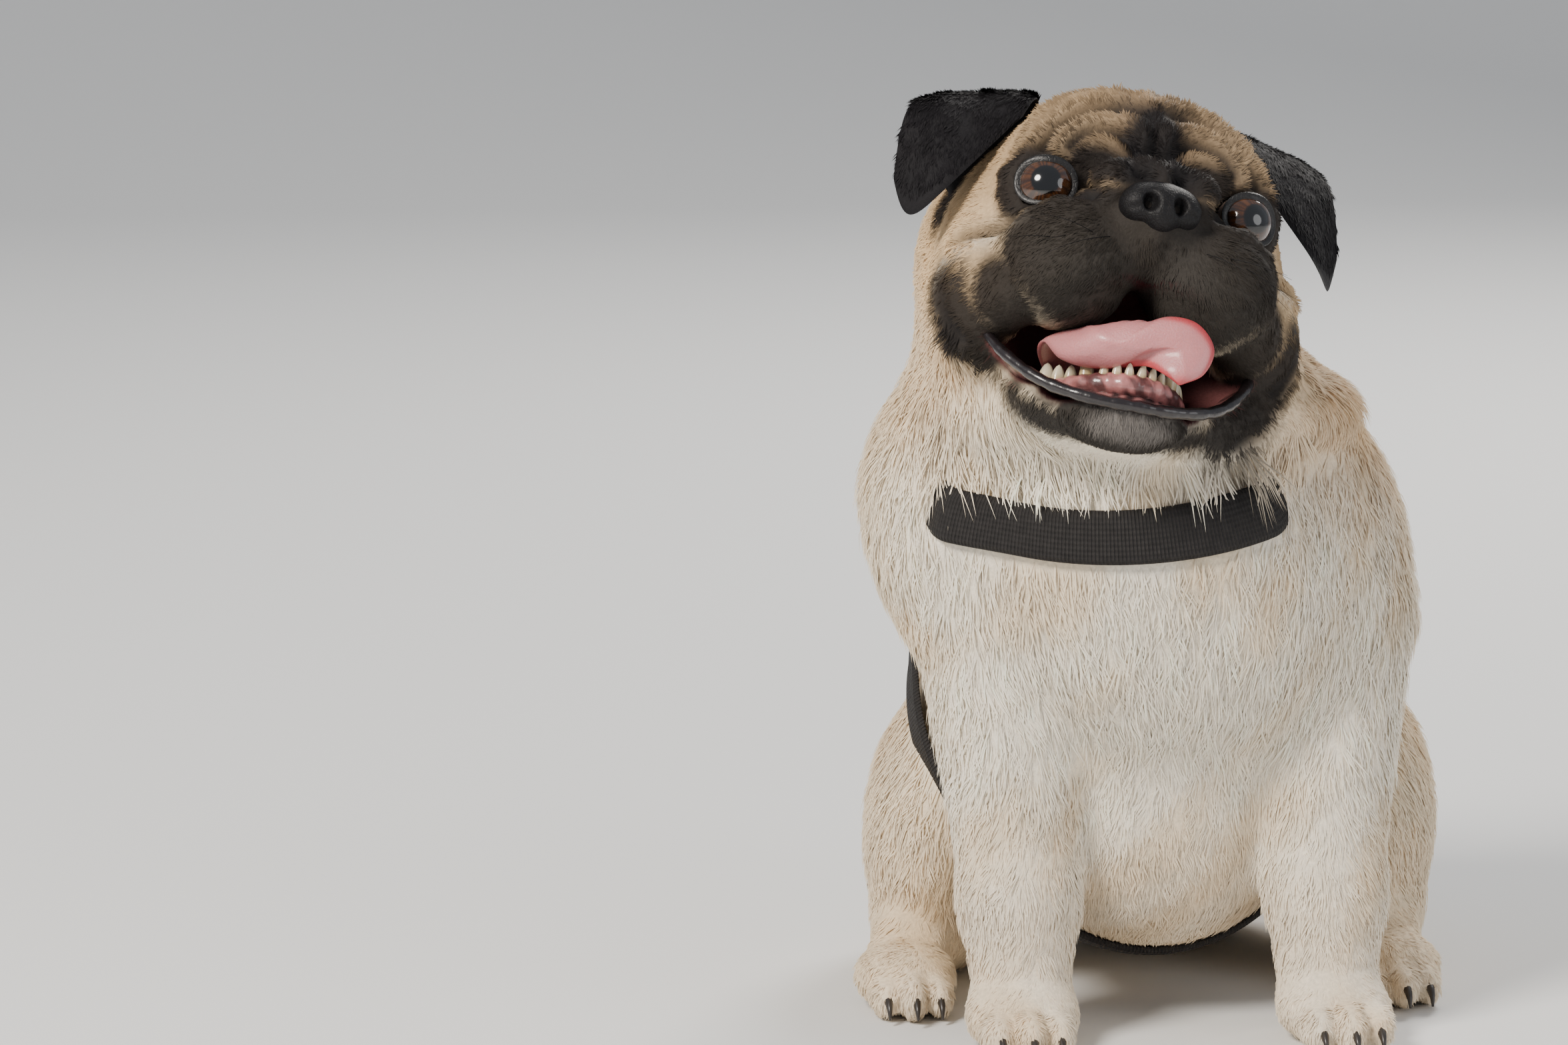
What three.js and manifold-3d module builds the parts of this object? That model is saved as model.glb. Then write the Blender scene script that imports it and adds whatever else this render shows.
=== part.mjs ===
// A seated pug as a still life-size model, looking up with its mouth open, in a webbing harness.
// Millimetres, +Z up, the dog faces -Y and its left side is +X. The floor is z = 0.
import * as THREE from "three";
import { mergeVertices } from "three/addons/utils/BufferGeometryUtils.js";
import Module from "manifold-3d";

const wasm = await Module();
wasm.setup();

// Driving dimensions
const GAP = 0.3; // between neighbouring pieces
const HEAD_AT = [-25, -58, 335]; // the middle of the head, level with the eyes
const HEAD_YAW = 8; // degrees towards the dog's left
const HEAD_PITCH = 20; // degrees, nose up
const HEAD_ROLL = 12; // degrees, left side down
const EYE_AT = [41, -41, 0]; // in the head's frame
const EYE_RADIUS = 12;
const STRAP_WIDTH = 20;
const STRAP_THICK = 2.4;
const FLOOR_FLAT = 1.2; // how much of each foot and the rump is flattened on the floor

const RAD = Math.PI / 180;
const V = (a) => new THREE.Vector3(...a);

// The head's frame: origin between the eyes, -Y out of the nose
const headMatrix = new THREE.Matrix4()
  .makeTranslation(...HEAD_AT)
  .multiply(new THREE.Matrix4().makeRotationZ(HEAD_YAW * RAD))
  .multiply(new THREE.Matrix4().makeRotationX(-HEAD_PITCH * RAD))
  .multiply(new THREE.Matrix4().makeRotationY(HEAD_ROLL * RAD));
const toHead = headMatrix.clone().invert();
const inHead = (a) => V(a).applyMatrix4(headMatrix);

// Forms of the head: centre, half sizes, how softly each runs into the rest; a paired form is on both sides
const HEAD_FORMS = {
  cranium: { at: [2, 6, 8], size: [61, 54, 47], soft: 8 },
  forehead: { at: [3, -14, 17], size: [54, 33, 35], soft: 14 },
  cheekbone: { at: [36, 2, -14], size: [37, 38, 34], soft: 16, pair: true },
  brow: { at: [29, -34, 17], size: [20, 13, 12], soft: 10, pair: true },
  socket: { at: [43, -34, 0], size: [17, 15, 18], soft: 8, pair: true },
  bridge: { at: [0, -50, -17], size: [25, 20, 19], soft: 8 },
  noseRoll: { at: [0, -54, 4], size: [27, 13, 8], soft: 7 },
  flews: { at: [28, -45, -30], size: [29, 27, 27], soft: 8, pair: true },
  jowl: { at: [47, -12, -40], size: [30, 31, 30], soft: 14, pair: true },
  throat: { at: [0, 18, -56], size: [66, 44, 46], soft: 16 },
  jaw: { at: [0, -20, -80], size: [44, 38, 24], soft: 10 },
  chin: { at: [0, -46, -89], size: [29, 19, 18], soft: 8 },
};

// Forms of the trunk. It leans to the dog's right above BODY_LEAN_FROM, and its rear sits to the left.
const TRUNK_FORMS = {
  neck: { from: [0, -20, 300], to: [0, -14, 232], radii: [80, 94], soft: 22 },
  ruff: { at: [8, -54, 262], size: [92, 60, 33], soft: 14 },
  chest: { at: [6, -28, 186], size: [104, 84, 92], soft: 24 },
  shoulder: { at: [72, -20, 205], size: [44, 54, 64], soft: 24, pair: true },
  withers: { at: [0, 28, 232], size: [74, 62, 56], soft: 30 },
  brisket: { at: [0, -8, 96], size: [70, 72, 72], soft: 22 },
  belly: { at: [0, 52, 122], size: [106, 98, 98], soft: 30 },
  rump: { at: [0, 112, 84], size: [100, 78, 84], soft: 30 },
};
const BODY_LEAN = 0.16;
const BODY_LEAN_FROM = 140;
const BODY_SWAY = 0.2;

// Forms of one limb each, for the dog's left; the right ones mirror them
const FORELEG_FORMS = {
  upperLeg: { from: [66, -40, 170], to: [64, -66, 62], radii: [42, 27], soft: 18 },
  pastern: { from: [64, -66, 62], to: [64, -74, 24], radii: [26, 22], soft: 10 },
  pad: { at: [65, -84, 14], size: [25, 26, 17], soft: 8 },
  innerToe: { at: [54, -106, 11], size: [9, 17, 11], soft: 4 },
  midToe: { at: [66, -111, 12], size: [8.5, 18, 12], soft: 4 },
  outerToe: { at: [78, -105, 11], size: [9, 17, 11], soft: 4 },
};
const THIGH_FORMS = {
  thigh: { at: [88, 66, 66], size: [40, 72, 64], soft: 14 },
  hock: { from: [98, 74, 22], to: [102, 16, 20], radii: [22, 19], soft: 14 },
};
const HIND_PAW_FORMS = {
  pad: { at: [104, -8, 14], size: [23, 28, 16], soft: 8 },
  innerToe: { at: [93, -30, 10], size: [8, 15, 10], soft: 4 },
  midToe: { at: [104, -34, 11], size: [8, 16, 11], soft: 4 },
  outerToe: { at: [115, -29, 10], size: [8, 15, 10], soft: 4 },
};

// Signed distance to an ellipsoid, near enough close to its surface
function ellipsoidField(p, at, size) {
  const x = p.x - at[0];
  const y = p.y - at[1];
  const z = p.z - at[2];
  const k0 = Math.hypot(x / size[0], y / size[1], z / size[2]);
  const k1 = Math.hypot(x / size[0] ** 2, y / size[1] ** 2, z / size[2] ** 2);
  return k1 < 1e-9 ? -Math.min(...size) : (k0 * (k0 - 1)) / k1;
}

// Signed distance to a limb that tapers from one radius to another
function limbField(p, from, to, radii) {
  const ax = to[0] - from[0];
  const ay = to[1] - from[1];
  const az = to[2] - from[2];
  const px = p.x - from[0];
  const py = p.y - from[1];
  const pz = p.z - from[2];
  const t = THREE.MathUtils.clamp((px * ax + py * ay + pz * az) / (ax * ax + ay * ay + az * az), 0, 1);
  return Math.hypot(px - t * ax, py - t * ay, pz - t * az) - THREE.MathUtils.lerp(radii[0], radii[1], t);
}

// The lesser of two distances, rounded where they are within `soft` of each other
function blend(a, b, soft) {
  const h = Math.max(soft - Math.abs(a - b), 0) / soft;
  return Math.min(a, b) - (h * h * soft) / 4;
}

const formField = (p, form) =>
  form.at ? ellipsoidField(p, form.at, form.size) : limbField(p, form.from, form.to, form.radii);

const other = new THREE.Vector3();
function blendForms(p, forms) {
  let d = 1e3;
  for (const form of Object.values(forms)) {
    d = blend(d, formField(p, form), form.soft);
    if (form.pair) d = blend(d, formField(other.set(-p.x, p.y, p.z), form), form.soft);
  }
  return d;
}

// Distances to the flesh of the head with the trunk, and of a limb on one side: below zero inside
const local = new THREE.Vector3();
function trunk(p) {
  const x = p.x + BODY_LEAN * Math.max(p.z - BODY_LEAN_FROM, 0) - BODY_SWAY * Math.max(p.y, 0);
  const d = blendForms(local.set(x, p.y, p.z), TRUNK_FORMS);
  return blend(d, blendForms(local.copy(p).applyMatrix4(toHead), HEAD_FORMS), 10);
}
const limb = (forms, side) => (p) => {
  const x = side * (p.x - BODY_SWAY * Math.max(p.y, 0));
  return blendForms(local.set(x, p.y, p.z), forms);
};
const grownBy = (field, by) => (p) => field(p) - by;

// How far along a ray from inside the flesh its surface lies
function reachOf(from, way, most, field) {
  const at = new THREE.Vector3();
  let low = 0;
  let r = 0;
  for (;;) {
    const d = field(at.copy(way).multiplyScalar(r).add(from));
    if (d > 0 || r > most) break;
    low = r;
    r += Math.max(-d * 0.6, 0.7);
  }
  if (r > most) return most;
  for (let i = 0; i < 12; i += 1) {
    const mid = (low + r) / 2;
    if (field(at.copy(way).multiplyScalar(mid).add(from)) > 0) r = mid;
    else low = mid;
  }
  return r;
}

// A geometry as a manifold solid
function solidOf(geometry) {
  const bare = geometry.clone();
  bare.deleteAttribute("normal");
  bare.deleteAttribute("uv");
  const merged = mergeVertices(bare, 1e-4);
  const made = new wasm.Manifold(
    new wasm.Mesh({
      numProp: 3,
      vertProperties: new Float32Array(merged.attributes.position.array),
      triVerts: new Uint32Array(merged.index.array),
    }),
  );
  return made;
}

// A geometry with each vertex moved by a function
function mapped(geometry, move) {
  const at = geometry.attributes.position;
  const v = new THREE.Vector3();
  for (let i = 0; i < at.count; i += 1) {
    move(v.fromBufferAttribute(at, i));
    at.setXYZ(i, v.x, v.y, v.z);
  }
  return geometry;
}

// A sphere drawn out along a spine, each vertex pushed outwards until it meets the flesh. The spine runs
// from the sphere's bottom pole to its top one, and crowding above 1 draws the rings towards the top pole.
function wrapped({ from, to, around, rings, reach, crowding = 1, field = trunk }) {
  const a = V(from);
  const b = V(to);
  const axis = b.clone().sub(a).normalize();
  const turn = new THREE.Quaternion().setFromUnitVectors(new THREE.Vector3(0, 1, 0), axis);
  const base = new THREE.Vector3();
  const geometry = mapped(new THREE.SphereGeometry(1, around, rings), (v) => {
    const polar = Math.acos(THREE.MathUtils.clamp(v.y, -1, 1));
    const crowded = Math.PI * (polar / Math.PI) ** crowding;
    const ring = Math.hypot(v.x, v.z) || 1;
    const s = Math.sin(crowded) / (Math.sin(polar) < 1e-6 ? 1 : ring);
    v.set(v.x * s, Math.cos(crowded), v.z * s);
    base.lerpVectors(a, b, (v.y + 1) / 2);
    v.normalize().applyQuaternion(turn);
    const r = reachOf(base, v, reach, field);
    v.multiplyScalar(r).add(base);
  });
  return solidOf(geometry);
}

// A half space as a big box: the side of the plane that its normal points to, moved off it by `off`
function beyond(point, normal, off = GAP / 2, size = 900) {
  const n = V(normal).normalize();
  const turn = new THREE.Quaternion().setFromUnitVectors(new THREE.Vector3(0, 0, 1), n);
  const box = new THREE.BoxGeometry(size, size, size);
  box.applyQuaternion(turn);
  const centre = V(point).addScaledVector(n, size / 2 + off);
  box.translate(centre.x, centre.y, centre.z);
  return solidOf(box);
}
const back = (normal) => normal.map((x) => -x);

function boxSolid(low, high) {
  const box = new THREE.BoxGeometry(high[0] - low[0], high[1] - low[1], high[2] - low[2]);
  box.translate((low[0] + high[0]) / 2, (low[1] + high[1]) / 2, (low[2] + high[2]) / 2);
  return solidOf(box);
}
const grownBox = (low, high) => boxSolid(low.map((x) => x - GAP), high.map((x) => x + GAP));

// An ellipsoid of the head, in place; `turn` tilts it about its own centre first
function headBall(at, size, segments, turn = [0, 0, 0]) {
  const ball = new THREE.SphereGeometry(1, segments, Math.round(segments * 0.7));
  ball.rotateX(Math.PI / 2);
  ball.scale(...size);
  ball.applyMatrix4(new THREE.Matrix4().makeRotationFromEuler(new THREE.Euler(...turn.map((d) => d * RAD))));
  ball.translate(...at);
  ball.applyMatrix4(headMatrix);
  return solidOf(ball);
}

// A closed ring of even section along closed or open points of the head's frame
function headTube(points, radius, steps, sides, closed) {
  const path = new THREE.CatmullRomCurve3(points.map(V), closed);
  const section = new THREE.Shape();
  for (let i = 0; i < sides; i += 1) {
    const a = (2 * Math.PI * i) / sides;
    if (i === 0) section.moveTo(radius, 0);
    else section.lineTo(radius * Math.cos(a), radius * Math.sin(a));
  }
  const tube = new THREE.ExtrudeGeometry(section, { steps, extrudePath: path, bevelEnabled: false });
  tube.applyMatrix4(headMatrix);
  return solidOf(tube);
}

const largest = (solid) =>
  solid.decompose().reduce((most, piece) => (piece.volume() > most.volume() ? piece : most));
const BOTH = [
  ["right", -1],
  ["left", 1],
];
const mirrored = (a, side) => [a[0] * side, a[1], a[2]];
const headWay = (a) => V(a).transformDirection(headMatrix).toArray();

// Where the head, lower jaw, neck and torso part. The head and the jaw meet at the corners of the mouth.
const HINGE = inHead([0, -4, -50]).toArray();
const NAPE_NORMAL = headWay([0, -0.79, 0.62]); // towards the face
const THROAT_NORMAL = headWay([0, -0.87, 0.49]);
const UP_HEAD = headWay([0, 0, 1]);
const COLLAR_POINT = [-20, -20, 250];
const COLLAR_NORMAL = [-0.1, -0.34, 0.93]; // up the neck
const faceSide = (off) => beyond(HINGE, NAPE_NORMAL, off).intersect(beyond(HINGE, UP_HEAD, off));
const jawSide = (off) => beyond(HINGE, THROAT_NORMAL, off).intersect(beyond(HINGE, back(UP_HEAD), off));
const aboveCollar = beyond(COLLAR_POINT, COLLAR_NORMAL);
const belowCollar = beyond(COLLAR_POINT, back(COLLAR_NORMAL));
const aboveFloor = boxSolid([-400, -400, FLOOR_FLAT], [400, 400, 700]);

// Mouth, opened from the lips to the throat
const MOUTH = { at: [0, -44, -60], size: [57, 44, 24], turn: [-6, 0, 0] };
const FLEW = { at: [31, -43, -36], size: [26, 25, 22] };
const mouth = headBall(MOUTH.at, MOUTH.size, 20, MOUTH.turn);
const flews = (grow) =>
  BOTH.map(([, side]) => headBall(mirrored(FLEW.at, side), FLEW.size.map((x) => x + grow), 16));

// Eyes, with a lid round each opening
const EYE_SEGMENTS = 14;
const EYE_OUTWARD = 16; // degrees that each eye looks to its side
const LID_OPEN = [64, 56]; // half angles of the opening, across and up
const LID_RADIUS = 1.7;
const gaze = (side) => [Math.sin(EYE_OUTWARD * RAD) * side, -Math.cos(EYE_OUTWARD * RAD), 0];
function lidPoints(side) {
  const g = V(gaze(side));
  const across = new THREE.Vector3(0, 0, 1).cross(g).normalize();
  const up = new THREE.Vector3(0, 0, 1);
  return Array.from({ length: 16 }, (_, i) => {
    const t = (2 * Math.PI * i) / 16;
    const open = RAD * Math.hypot(LID_OPEN[0] * Math.cos(t), LID_OPEN[1] * Math.sin(t));
    return V(mirrored(EYE_AT, side))
      .addScaledVector(g, (EYE_RADIUS + 0.6) * Math.cos(open))
      .addScaledVector(across, (EYE_RADIUS + 0.6) * Math.sin(open) * Math.cos(t))
      .addScaledVector(up, (EYE_RADIUS + 0.6) * Math.sin(open) * Math.sin(t))
      .toArray();
  });
}
const inFrontOfEye = (side, by) => V(mirrored(EYE_AT, side)).addScaledVector(V(gaze(side)), by).toArray();

// Nose leather with its nostrils
const NOSE_PAD = { at: [0, -69, -8], size: [11.5, 8, 9.5] };
const NOSE_WING = { at: [9, -66.5, -8.5], size: [9, 8, 8] };
const NOSTRIL = { at: [6.8, -75, -8], size: [2.7, 5, 3.4] };
const NOSTRIL_SLIT = { at: [12, -73, -10.5], size: [4.5, 4, 1.5] };
function noseSolid(grow) {
  const bigger = (size) => size.map((x) => x + grow);
  let made = headBall(NOSE_PAD.at, bigger(NOSE_PAD.size), 14);
  for (const [, side] of BOTH) made = made.add(headBall(mirrored(NOSE_WING.at, side), bigger(NOSE_WING.size), 10));
  return made;
}

// Head. The lips hang over the opened mouth at its sides.
const HEAD_SPINE = {
  from: inHead([0, 6, -6]).toArray(),
  to: inHead([0, -26, -14]).toArray(),
  around: 34,
  rings: 26,
  reach: 120,
  crowding: 1.25,
};
let head = wrapped(HEAD_SPINE).intersect(faceSide(GAP / 2)).subtract(mouth);
for (const flew of flews(0)) head = head.add(flew);
for (const [, side] of BOTH) {
  head = head.subtract(headBall(inFrontOfEye(side, 13), [11.5, 11.5, 10.5], 14));
  head = head.add(headTube(lidPoints(side), LID_RADIUS, 16, 4, true));
  head = head.subtract(headBall(mirrored(EYE_AT, side), Array(3).fill(EYE_RADIUS + GAP), EYE_SEGMENTS));
}
head = head.subtract(noseSolid(GAP));
const grownFlesh = wrapped({ ...HEAD_SPINE, field: grownBy(trunk, GAP) });

// Lower jaw, with its gum ridge and the teeth that the open mouth shows
const ARCH_HALF = 27; // half width of the row of teeth at its back
const ARCH_FRONT = -55;
const GUM_Z = -79;
const archPoint = (s) => {
  const a = s * 78 * RAD; // s from -1 at the right molar to 1 at the left one
  return [ARCH_HALF * Math.sin(a) * 1.02, ARCH_FRONT + 52 * (1 - Math.cos(a)), GUM_Z];
};
const TEETH = [
  ...[0.07, 0.2, 0.32].map((s) => ({ s, radius: 2.2, height: 5 })),
  { s: 0.5, radius: 3.2, height: 10 },
  ...[0.68, 0.8].map((s) => ({ s, radius: 3, height: 5.5 })),
  { s: 0.93, radius: 4.2, height: 8 },
];
const GUM_RADIUS = 4.6;
let jaw = wrapped({
  from: inHead([0, 0, -82]).toArray(),
  to: inHead([0, -26, -86]).toArray(),
  around: 26,
  rings: 16,
  reach: 110,
});
jaw = jaw.intersect(jawSide(GAP / 2)).intersect(aboveCollar).subtract(mouth);
const gum = headTube([-1, -0.75, -0.5, -0.25, 0, 0.25, 0.5, 0.75, 1].map(archPoint), GUM_RADIUS, 14, 5, false);
let rooted = gum;
for (const { s, radius, height } of TEETH) {
  for (const [, side] of BOTH) {
    const tooth = new THREE.ConeGeometry(radius, height + 4, 5);
    tooth.rotateX(Math.PI / 2);
    const [x, y, z] = archPoint(s * side);
    tooth.translate(x, y, z + GUM_RADIUS - 1 + (height - 4) / 2);
    tooth.applyMatrix4(headMatrix);
    rooted = rooted.add(solidOf(tooth));
  }
}
jaw = jaw.add(rooted).intersect(jawSide(GAP / 2));
for (const flew of flews(GAP)) jaw = jaw.subtract(flew);

// Tongue, its tip lifted at the dog's left
const TONGUE_BODY = { at: [-2, -34, -68], size: [24, 26, 8], turn: [-4, 6, 0] };
const TONGUE_LOBE = { at: [15, -60, -67], size: [23, 5, 13], turn: [18, -14, 6] };
let tongue = headBall(TONGUE_BODY.at, TONGUE_BODY.size, 14, TONGUE_BODY.turn);
tongue = tongue.add(headBall(TONGUE_LOBE.at, TONGUE_LOBE.size, 16, TONGUE_LOBE.turn));
tongue = tongue.intersect(beyond(HINGE, THROAT_NORMAL, GAP));

// Ears: the leather rises from its root to a fold and hangs forwards to its tip. u runs from the
// inner side to the outer one, v from the root over the fold to the free edge.
const EAR_ROOT = [[36, 8, 44], [60, 26, -4]];
const EAR_FOLD = [[40, -2, 51], [90, 12, 45]];
const EAR_EDGE = [[46, -12, 38], [95, -4, -22]];
const EAR_THICK = 3.4;
function earSurface(u, v) {
  const pick = (pair, t) => V(pair[0]).lerp(V(pair[1]), t);
  const bulge = Math.sin(Math.PI * u);
  const root = pick(EAR_ROOT, u);
  const fold = pick(EAR_FOLD, u).addScaledVector(new THREE.Vector3(1, 3, 4), bulge);
  const edge = pick(EAR_EDGE, u).addScaledVector(new THREE.Vector3(8, -9, -8), bulge);
  const lift = fold.multiplyScalar(2).addScaledVector(root, -0.5).addScaledVector(edge, -0.5);
  const made = root.multiplyScalar((1 - v) ** 2).addScaledVector(lift, 2 * v * (1 - v));
  made.addScaledVector(edge, v * v);
  return made;
}
function earSolid() {
  const step = 0.01;
  const u1 = new THREE.Vector3();
  const v1 = new THREE.Vector3();
  const sheet = new THREE.BoxGeometry(1, 1, 1, 7, 10, 1);
  mapped(sheet, (p) => {
    const u = THREE.MathUtils.clamp(p.x + 0.5, step, 1 - step);
    const v = THREE.MathUtils.clamp(p.y + 0.5, step, 1 - step);
    u1.copy(earSurface(u + step, v)).sub(earSurface(u - step, v));
    v1.copy(earSurface(u, v + step)).sub(earSurface(u, v - step));
    const off = u1.cross(v1).normalize().multiplyScalar(p.z * EAR_THICK);
    p.copy(earSurface(p.x + 0.5, p.y + 0.5)).add(off);
  });
  return solidOf(sheet);
}
const leftEar = earSolid();
const ear = (side) => (side < 0 ? leftEar.mirror([1, 0, 0]) : leftEar).transform(headMatrix.elements);

const material = (color, roughness, metalness = 0) =>
  new THREE.MeshStandardMaterial({ color, roughness, metalness });
const fawn = material("#e6cfa6", 0.9);
const cream = material("#efe3cc", 0.9);
const black = material("#1c1a1b", 0.85);
const leather = material("#141315", 0.45);
const eyeBrown = material("#3a1c0c", 0.08);
const pink = material("#cf6f78", 0.4);
const webbing = material("#2b2a2c", 0.8);
const steel = material("#cfd2d0", 0.3, 1);

const group = new THREE.Group();
function place(name, solid, look) {
  const mesh = largest(solid).getMesh();
  const positions = new Float32Array(mesh.numVert * 3);
  for (let i = 0; i < mesh.numVert; i += 1) {
    positions.set(mesh.vertProperties.subarray(i * mesh.numProp, i * mesh.numProp + 3), i * 3);
  }
  const geometry = new THREE.BufferGeometry();
  geometry.setAttribute("position", new THREE.BufferAttribute(positions, 3));
  geometry.setIndex(new THREE.BufferAttribute(mesh.triVerts, 1));
  geometry.computeVertexNormals();
  const made = new THREE.Mesh(geometry, look);
  made.name = name;
  group.add(made);
}

// Webbing: a flat strap round the body in a plane. Each angle's ray finds the flesh under both of its edges.
function strapSolid({ centre, normal, width, thick, steps, lift }) {
  const n = V(normal).normalize();
  const across = new THREE.Vector3(1, 0, 0).addScaledVector(n, -n.x).normalize();
  const along = n.clone().cross(across);
  const ring = new THREE.TorusGeometry(10, 1, 4, steps);
  const way = new THREE.Vector3();
  const start = new THREE.Vector3();
  mapped(ring, (p) => {
    const turn = Math.atan2(p.y, p.x);
    const corner = Math.round(Math.atan2(p.z, Math.hypot(p.x, p.y) - 10) / (Math.PI / 2));
    const [edge, outer] = [[1, 1], [1, 0], [-1, 0], [-1, 1]][(corner + 4) % 4];
    way.copy(across).multiplyScalar(Math.cos(turn)).addScaledVector(along, Math.sin(turn));
    start.copy(V(centre)).addScaledVector(n, (edge * width) / 2);
    const r = reachOf(start, way, 200, trunk) + lift + outer * thick;
    p.copy(way).multiplyScalar(r).add(start);
  });
  return solidOf(ring);
}
const NECK_BAND = { centre: COLLAR_POINT, normal: COLLAR_NORMAL, width: STRAP_WIDTH, thick: STRAP_THICK, steps: 32 };
const GIRTH = { centre: [-4, 36, 150], normal: [0, -0.9, 0.44], width: STRAP_WIDTH, thick: STRAP_THICK, steps: 36 };
const SUNK = -0.8; // the webbing presses a little into the coat

// A strap along the back, between the neck band and the girth, centred on the plane x = BACK_CENTRE[0]
const BACK_STRAP = { from: 22, to: 64, steps: 8 }; // degrees up from the horizontal, rear side
const BACK_CENTRE = [-14, -20, 150];
function backStrapSolid(grow) {
  const box = new THREE.BoxGeometry(1, 1, 1, 1, 1, BACK_STRAP.steps);
  const way = new THREE.Vector3();
  const start = new THREE.Vector3();
  mapped(box, (p) => {
    const turn = RAD * THREE.MathUtils.lerp(BACK_STRAP.from, BACK_STRAP.to, p.z + 0.5);
    way.set(0, Math.cos(turn), Math.sin(turn));
    start.set(BACK_CENTRE[0] + p.x * (STRAP_WIDTH + 2 * grow), BACK_CENTRE[1], BACK_CENTRE[2]);
    const r = reachOf(start, way, 240, trunk) + SUNK + STRAP_THICK / 2 + p.y * (STRAP_THICK + 2 * grow);
    p.copy(way).multiplyScalar(r).add(start);
  });
  return solidOf(box);
}
const neckBand = strapSolid({ ...NECK_BAND, lift: SUNK });
const girth = strapSolid({ ...GIRTH, lift: SUNK });
const grown = (strap) =>
  strapSolid({ ...strap, lift: SUNK - GAP, width: strap.width + 2 * GAP, thick: strap.thick + 2 * GAP });
const neckGroove = grown(NECK_BAND);
const girthGroove = grown(GIRTH);

// Ring that hangs from the girth at the dog's right
const RING = { radius: 9.5, wire: 1.7, turn: 0.12 };
const ringSegments = 20;
function ringSolid() {
  const n = V(GIRTH.normal).normalize();
  const angle = Math.PI * (1 - RING.turn);
  const across = new THREE.Vector3(1, 0, 0).addScaledVector(n, -n.x).normalize();
  const along = n.clone().cross(across);
  const way = across.multiplyScalar(Math.cos(angle)).addScaledVector(along, Math.sin(angle));
  const r = reachOf(V(GIRTH.centre), way, 200, trunk) + SUNK + STRAP_THICK + RING.radius + RING.wire + GAP;
  const ring = new THREE.TorusGeometry(RING.radius, RING.wire, 5, ringSegments);
  ring.rotateX(Math.PI / 2);
  ring.translate(...way.multiplyScalar(r).add(V(GIRTH.centre)).toArray());
  return solidOf(ring);
}

// Limbs and the planes they part at
const FORELEG_TOP = 112;
const WRIST = 44;
const THIGH_INSIDE = 46;
const HIND_CUT = 14;
const upTo = (z, off) => beyond([0, 0, z], [0, 0, -1], off);
const downTo = (z, off) => beyond([0, 0, z], [0, 0, 1], off);

const TRUNK_SPINE = { from: [18, 95, 92], to: [0, -20, 180], around: 30, rings: 22, reach: 190 };
let torso = wrapped(TRUNK_SPINE);
torso = torso.intersect(belowCollar).intersect(aboveFloor).subtract(neckGroove).subtract(girthGroove).subtract(backStrapSolid(GAP));
let neck = wrapped({ from: [-12, -20, 245], to: [-22, -22, 300], around: 28, rings: 16, reach: 150 });
neck = neck.intersect(aboveCollar).subtract(faceSide(-GAP / 2)).subtract(jawSide(-GAP / 2));
neck = neck.subtract(neckGroove).subtract(mouth);

for (const [name, side] of BOTH) {
  const at = (a) => mirrored(a, side);
  const legShape = { from: at([64, -56, 120]), to: at([64, -80, 18]), around: 18, rings: 14, reach: 90 };
  const forePawShape = { from: at([64, -74, 30]), to: at([65, -100, 13]), around: 20, rings: 12, reach: 70 };
  const leg = (by) => wrapped({ ...legShape, field: grownBy(limb(FORELEG_FORMS, side), by) });
  const thighShape = { from: at([86, 96, 68]), to: at([90, 40, 60]), around: 18, rings: 12, reach: 120 };
  const thighWrap = (by) => wrapped({ ...thighShape, field: grownBy(limb(THIGH_FORMS, side), by) });
  const pawShape = { from: at([103, 6, 18]), to: at([104, -24, 13]), around: 18, rings: 12, reach: 60 };
  const hindWrap = (by) => wrapped({ ...pawShape, field: grownBy(limb(HIND_PAW_FORMS, side), by) });
  const outwards = (off) => beyond([side * THIGH_INSIDE, 0, 0], [side, 0, 0], off);
  const forwards = (off) => beyond([0, HIND_CUT, 0], [0, -1, 0], off);

  torso = torso.subtract(leg(GAP).intersect(upTo(FORELEG_TOP, -GAP / 2)));
  torso = torso.subtract(thighWrap(GAP).intersect(outwards(-GAP / 2)));
  const foreleg = leg(0).intersect(upTo(FORELEG_TOP, GAP / 2)).intersect(downTo(WRIST, GAP / 2));
  place("foreleg_" + name, foreleg.subtract(girthGroove), cream);
  const forePaw = wrapped({ ...forePawShape, field: limb(FORELEG_FORMS, side) });
  place("fore_paw_" + name, forePaw.intersect(upTo(WRIST, GAP / 2)).intersect(aboveFloor), cream);
  const haunch = thighWrap(0).intersect(outwards(GAP / 2)).intersect(aboveFloor).subtract(girthGroove);
  const hindPaw = hindWrap(0).intersect(forwards(GAP / 2)).intersect(aboveFloor);
  place("thigh_" + name, haunch.subtract(hindWrap(GAP).intersect(forwards(-GAP / 2))), fawn);
  place("hind_paw_" + name, hindPaw, fawn);
  place("ear_" + name, ear(side).subtract(grownFlesh), black);
  place("eye_" + name, headBall(mirrored(EYE_AT, side), Array(3).fill(EYE_RADIUS), EYE_SEGMENTS), eyeBrown);
}

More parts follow.
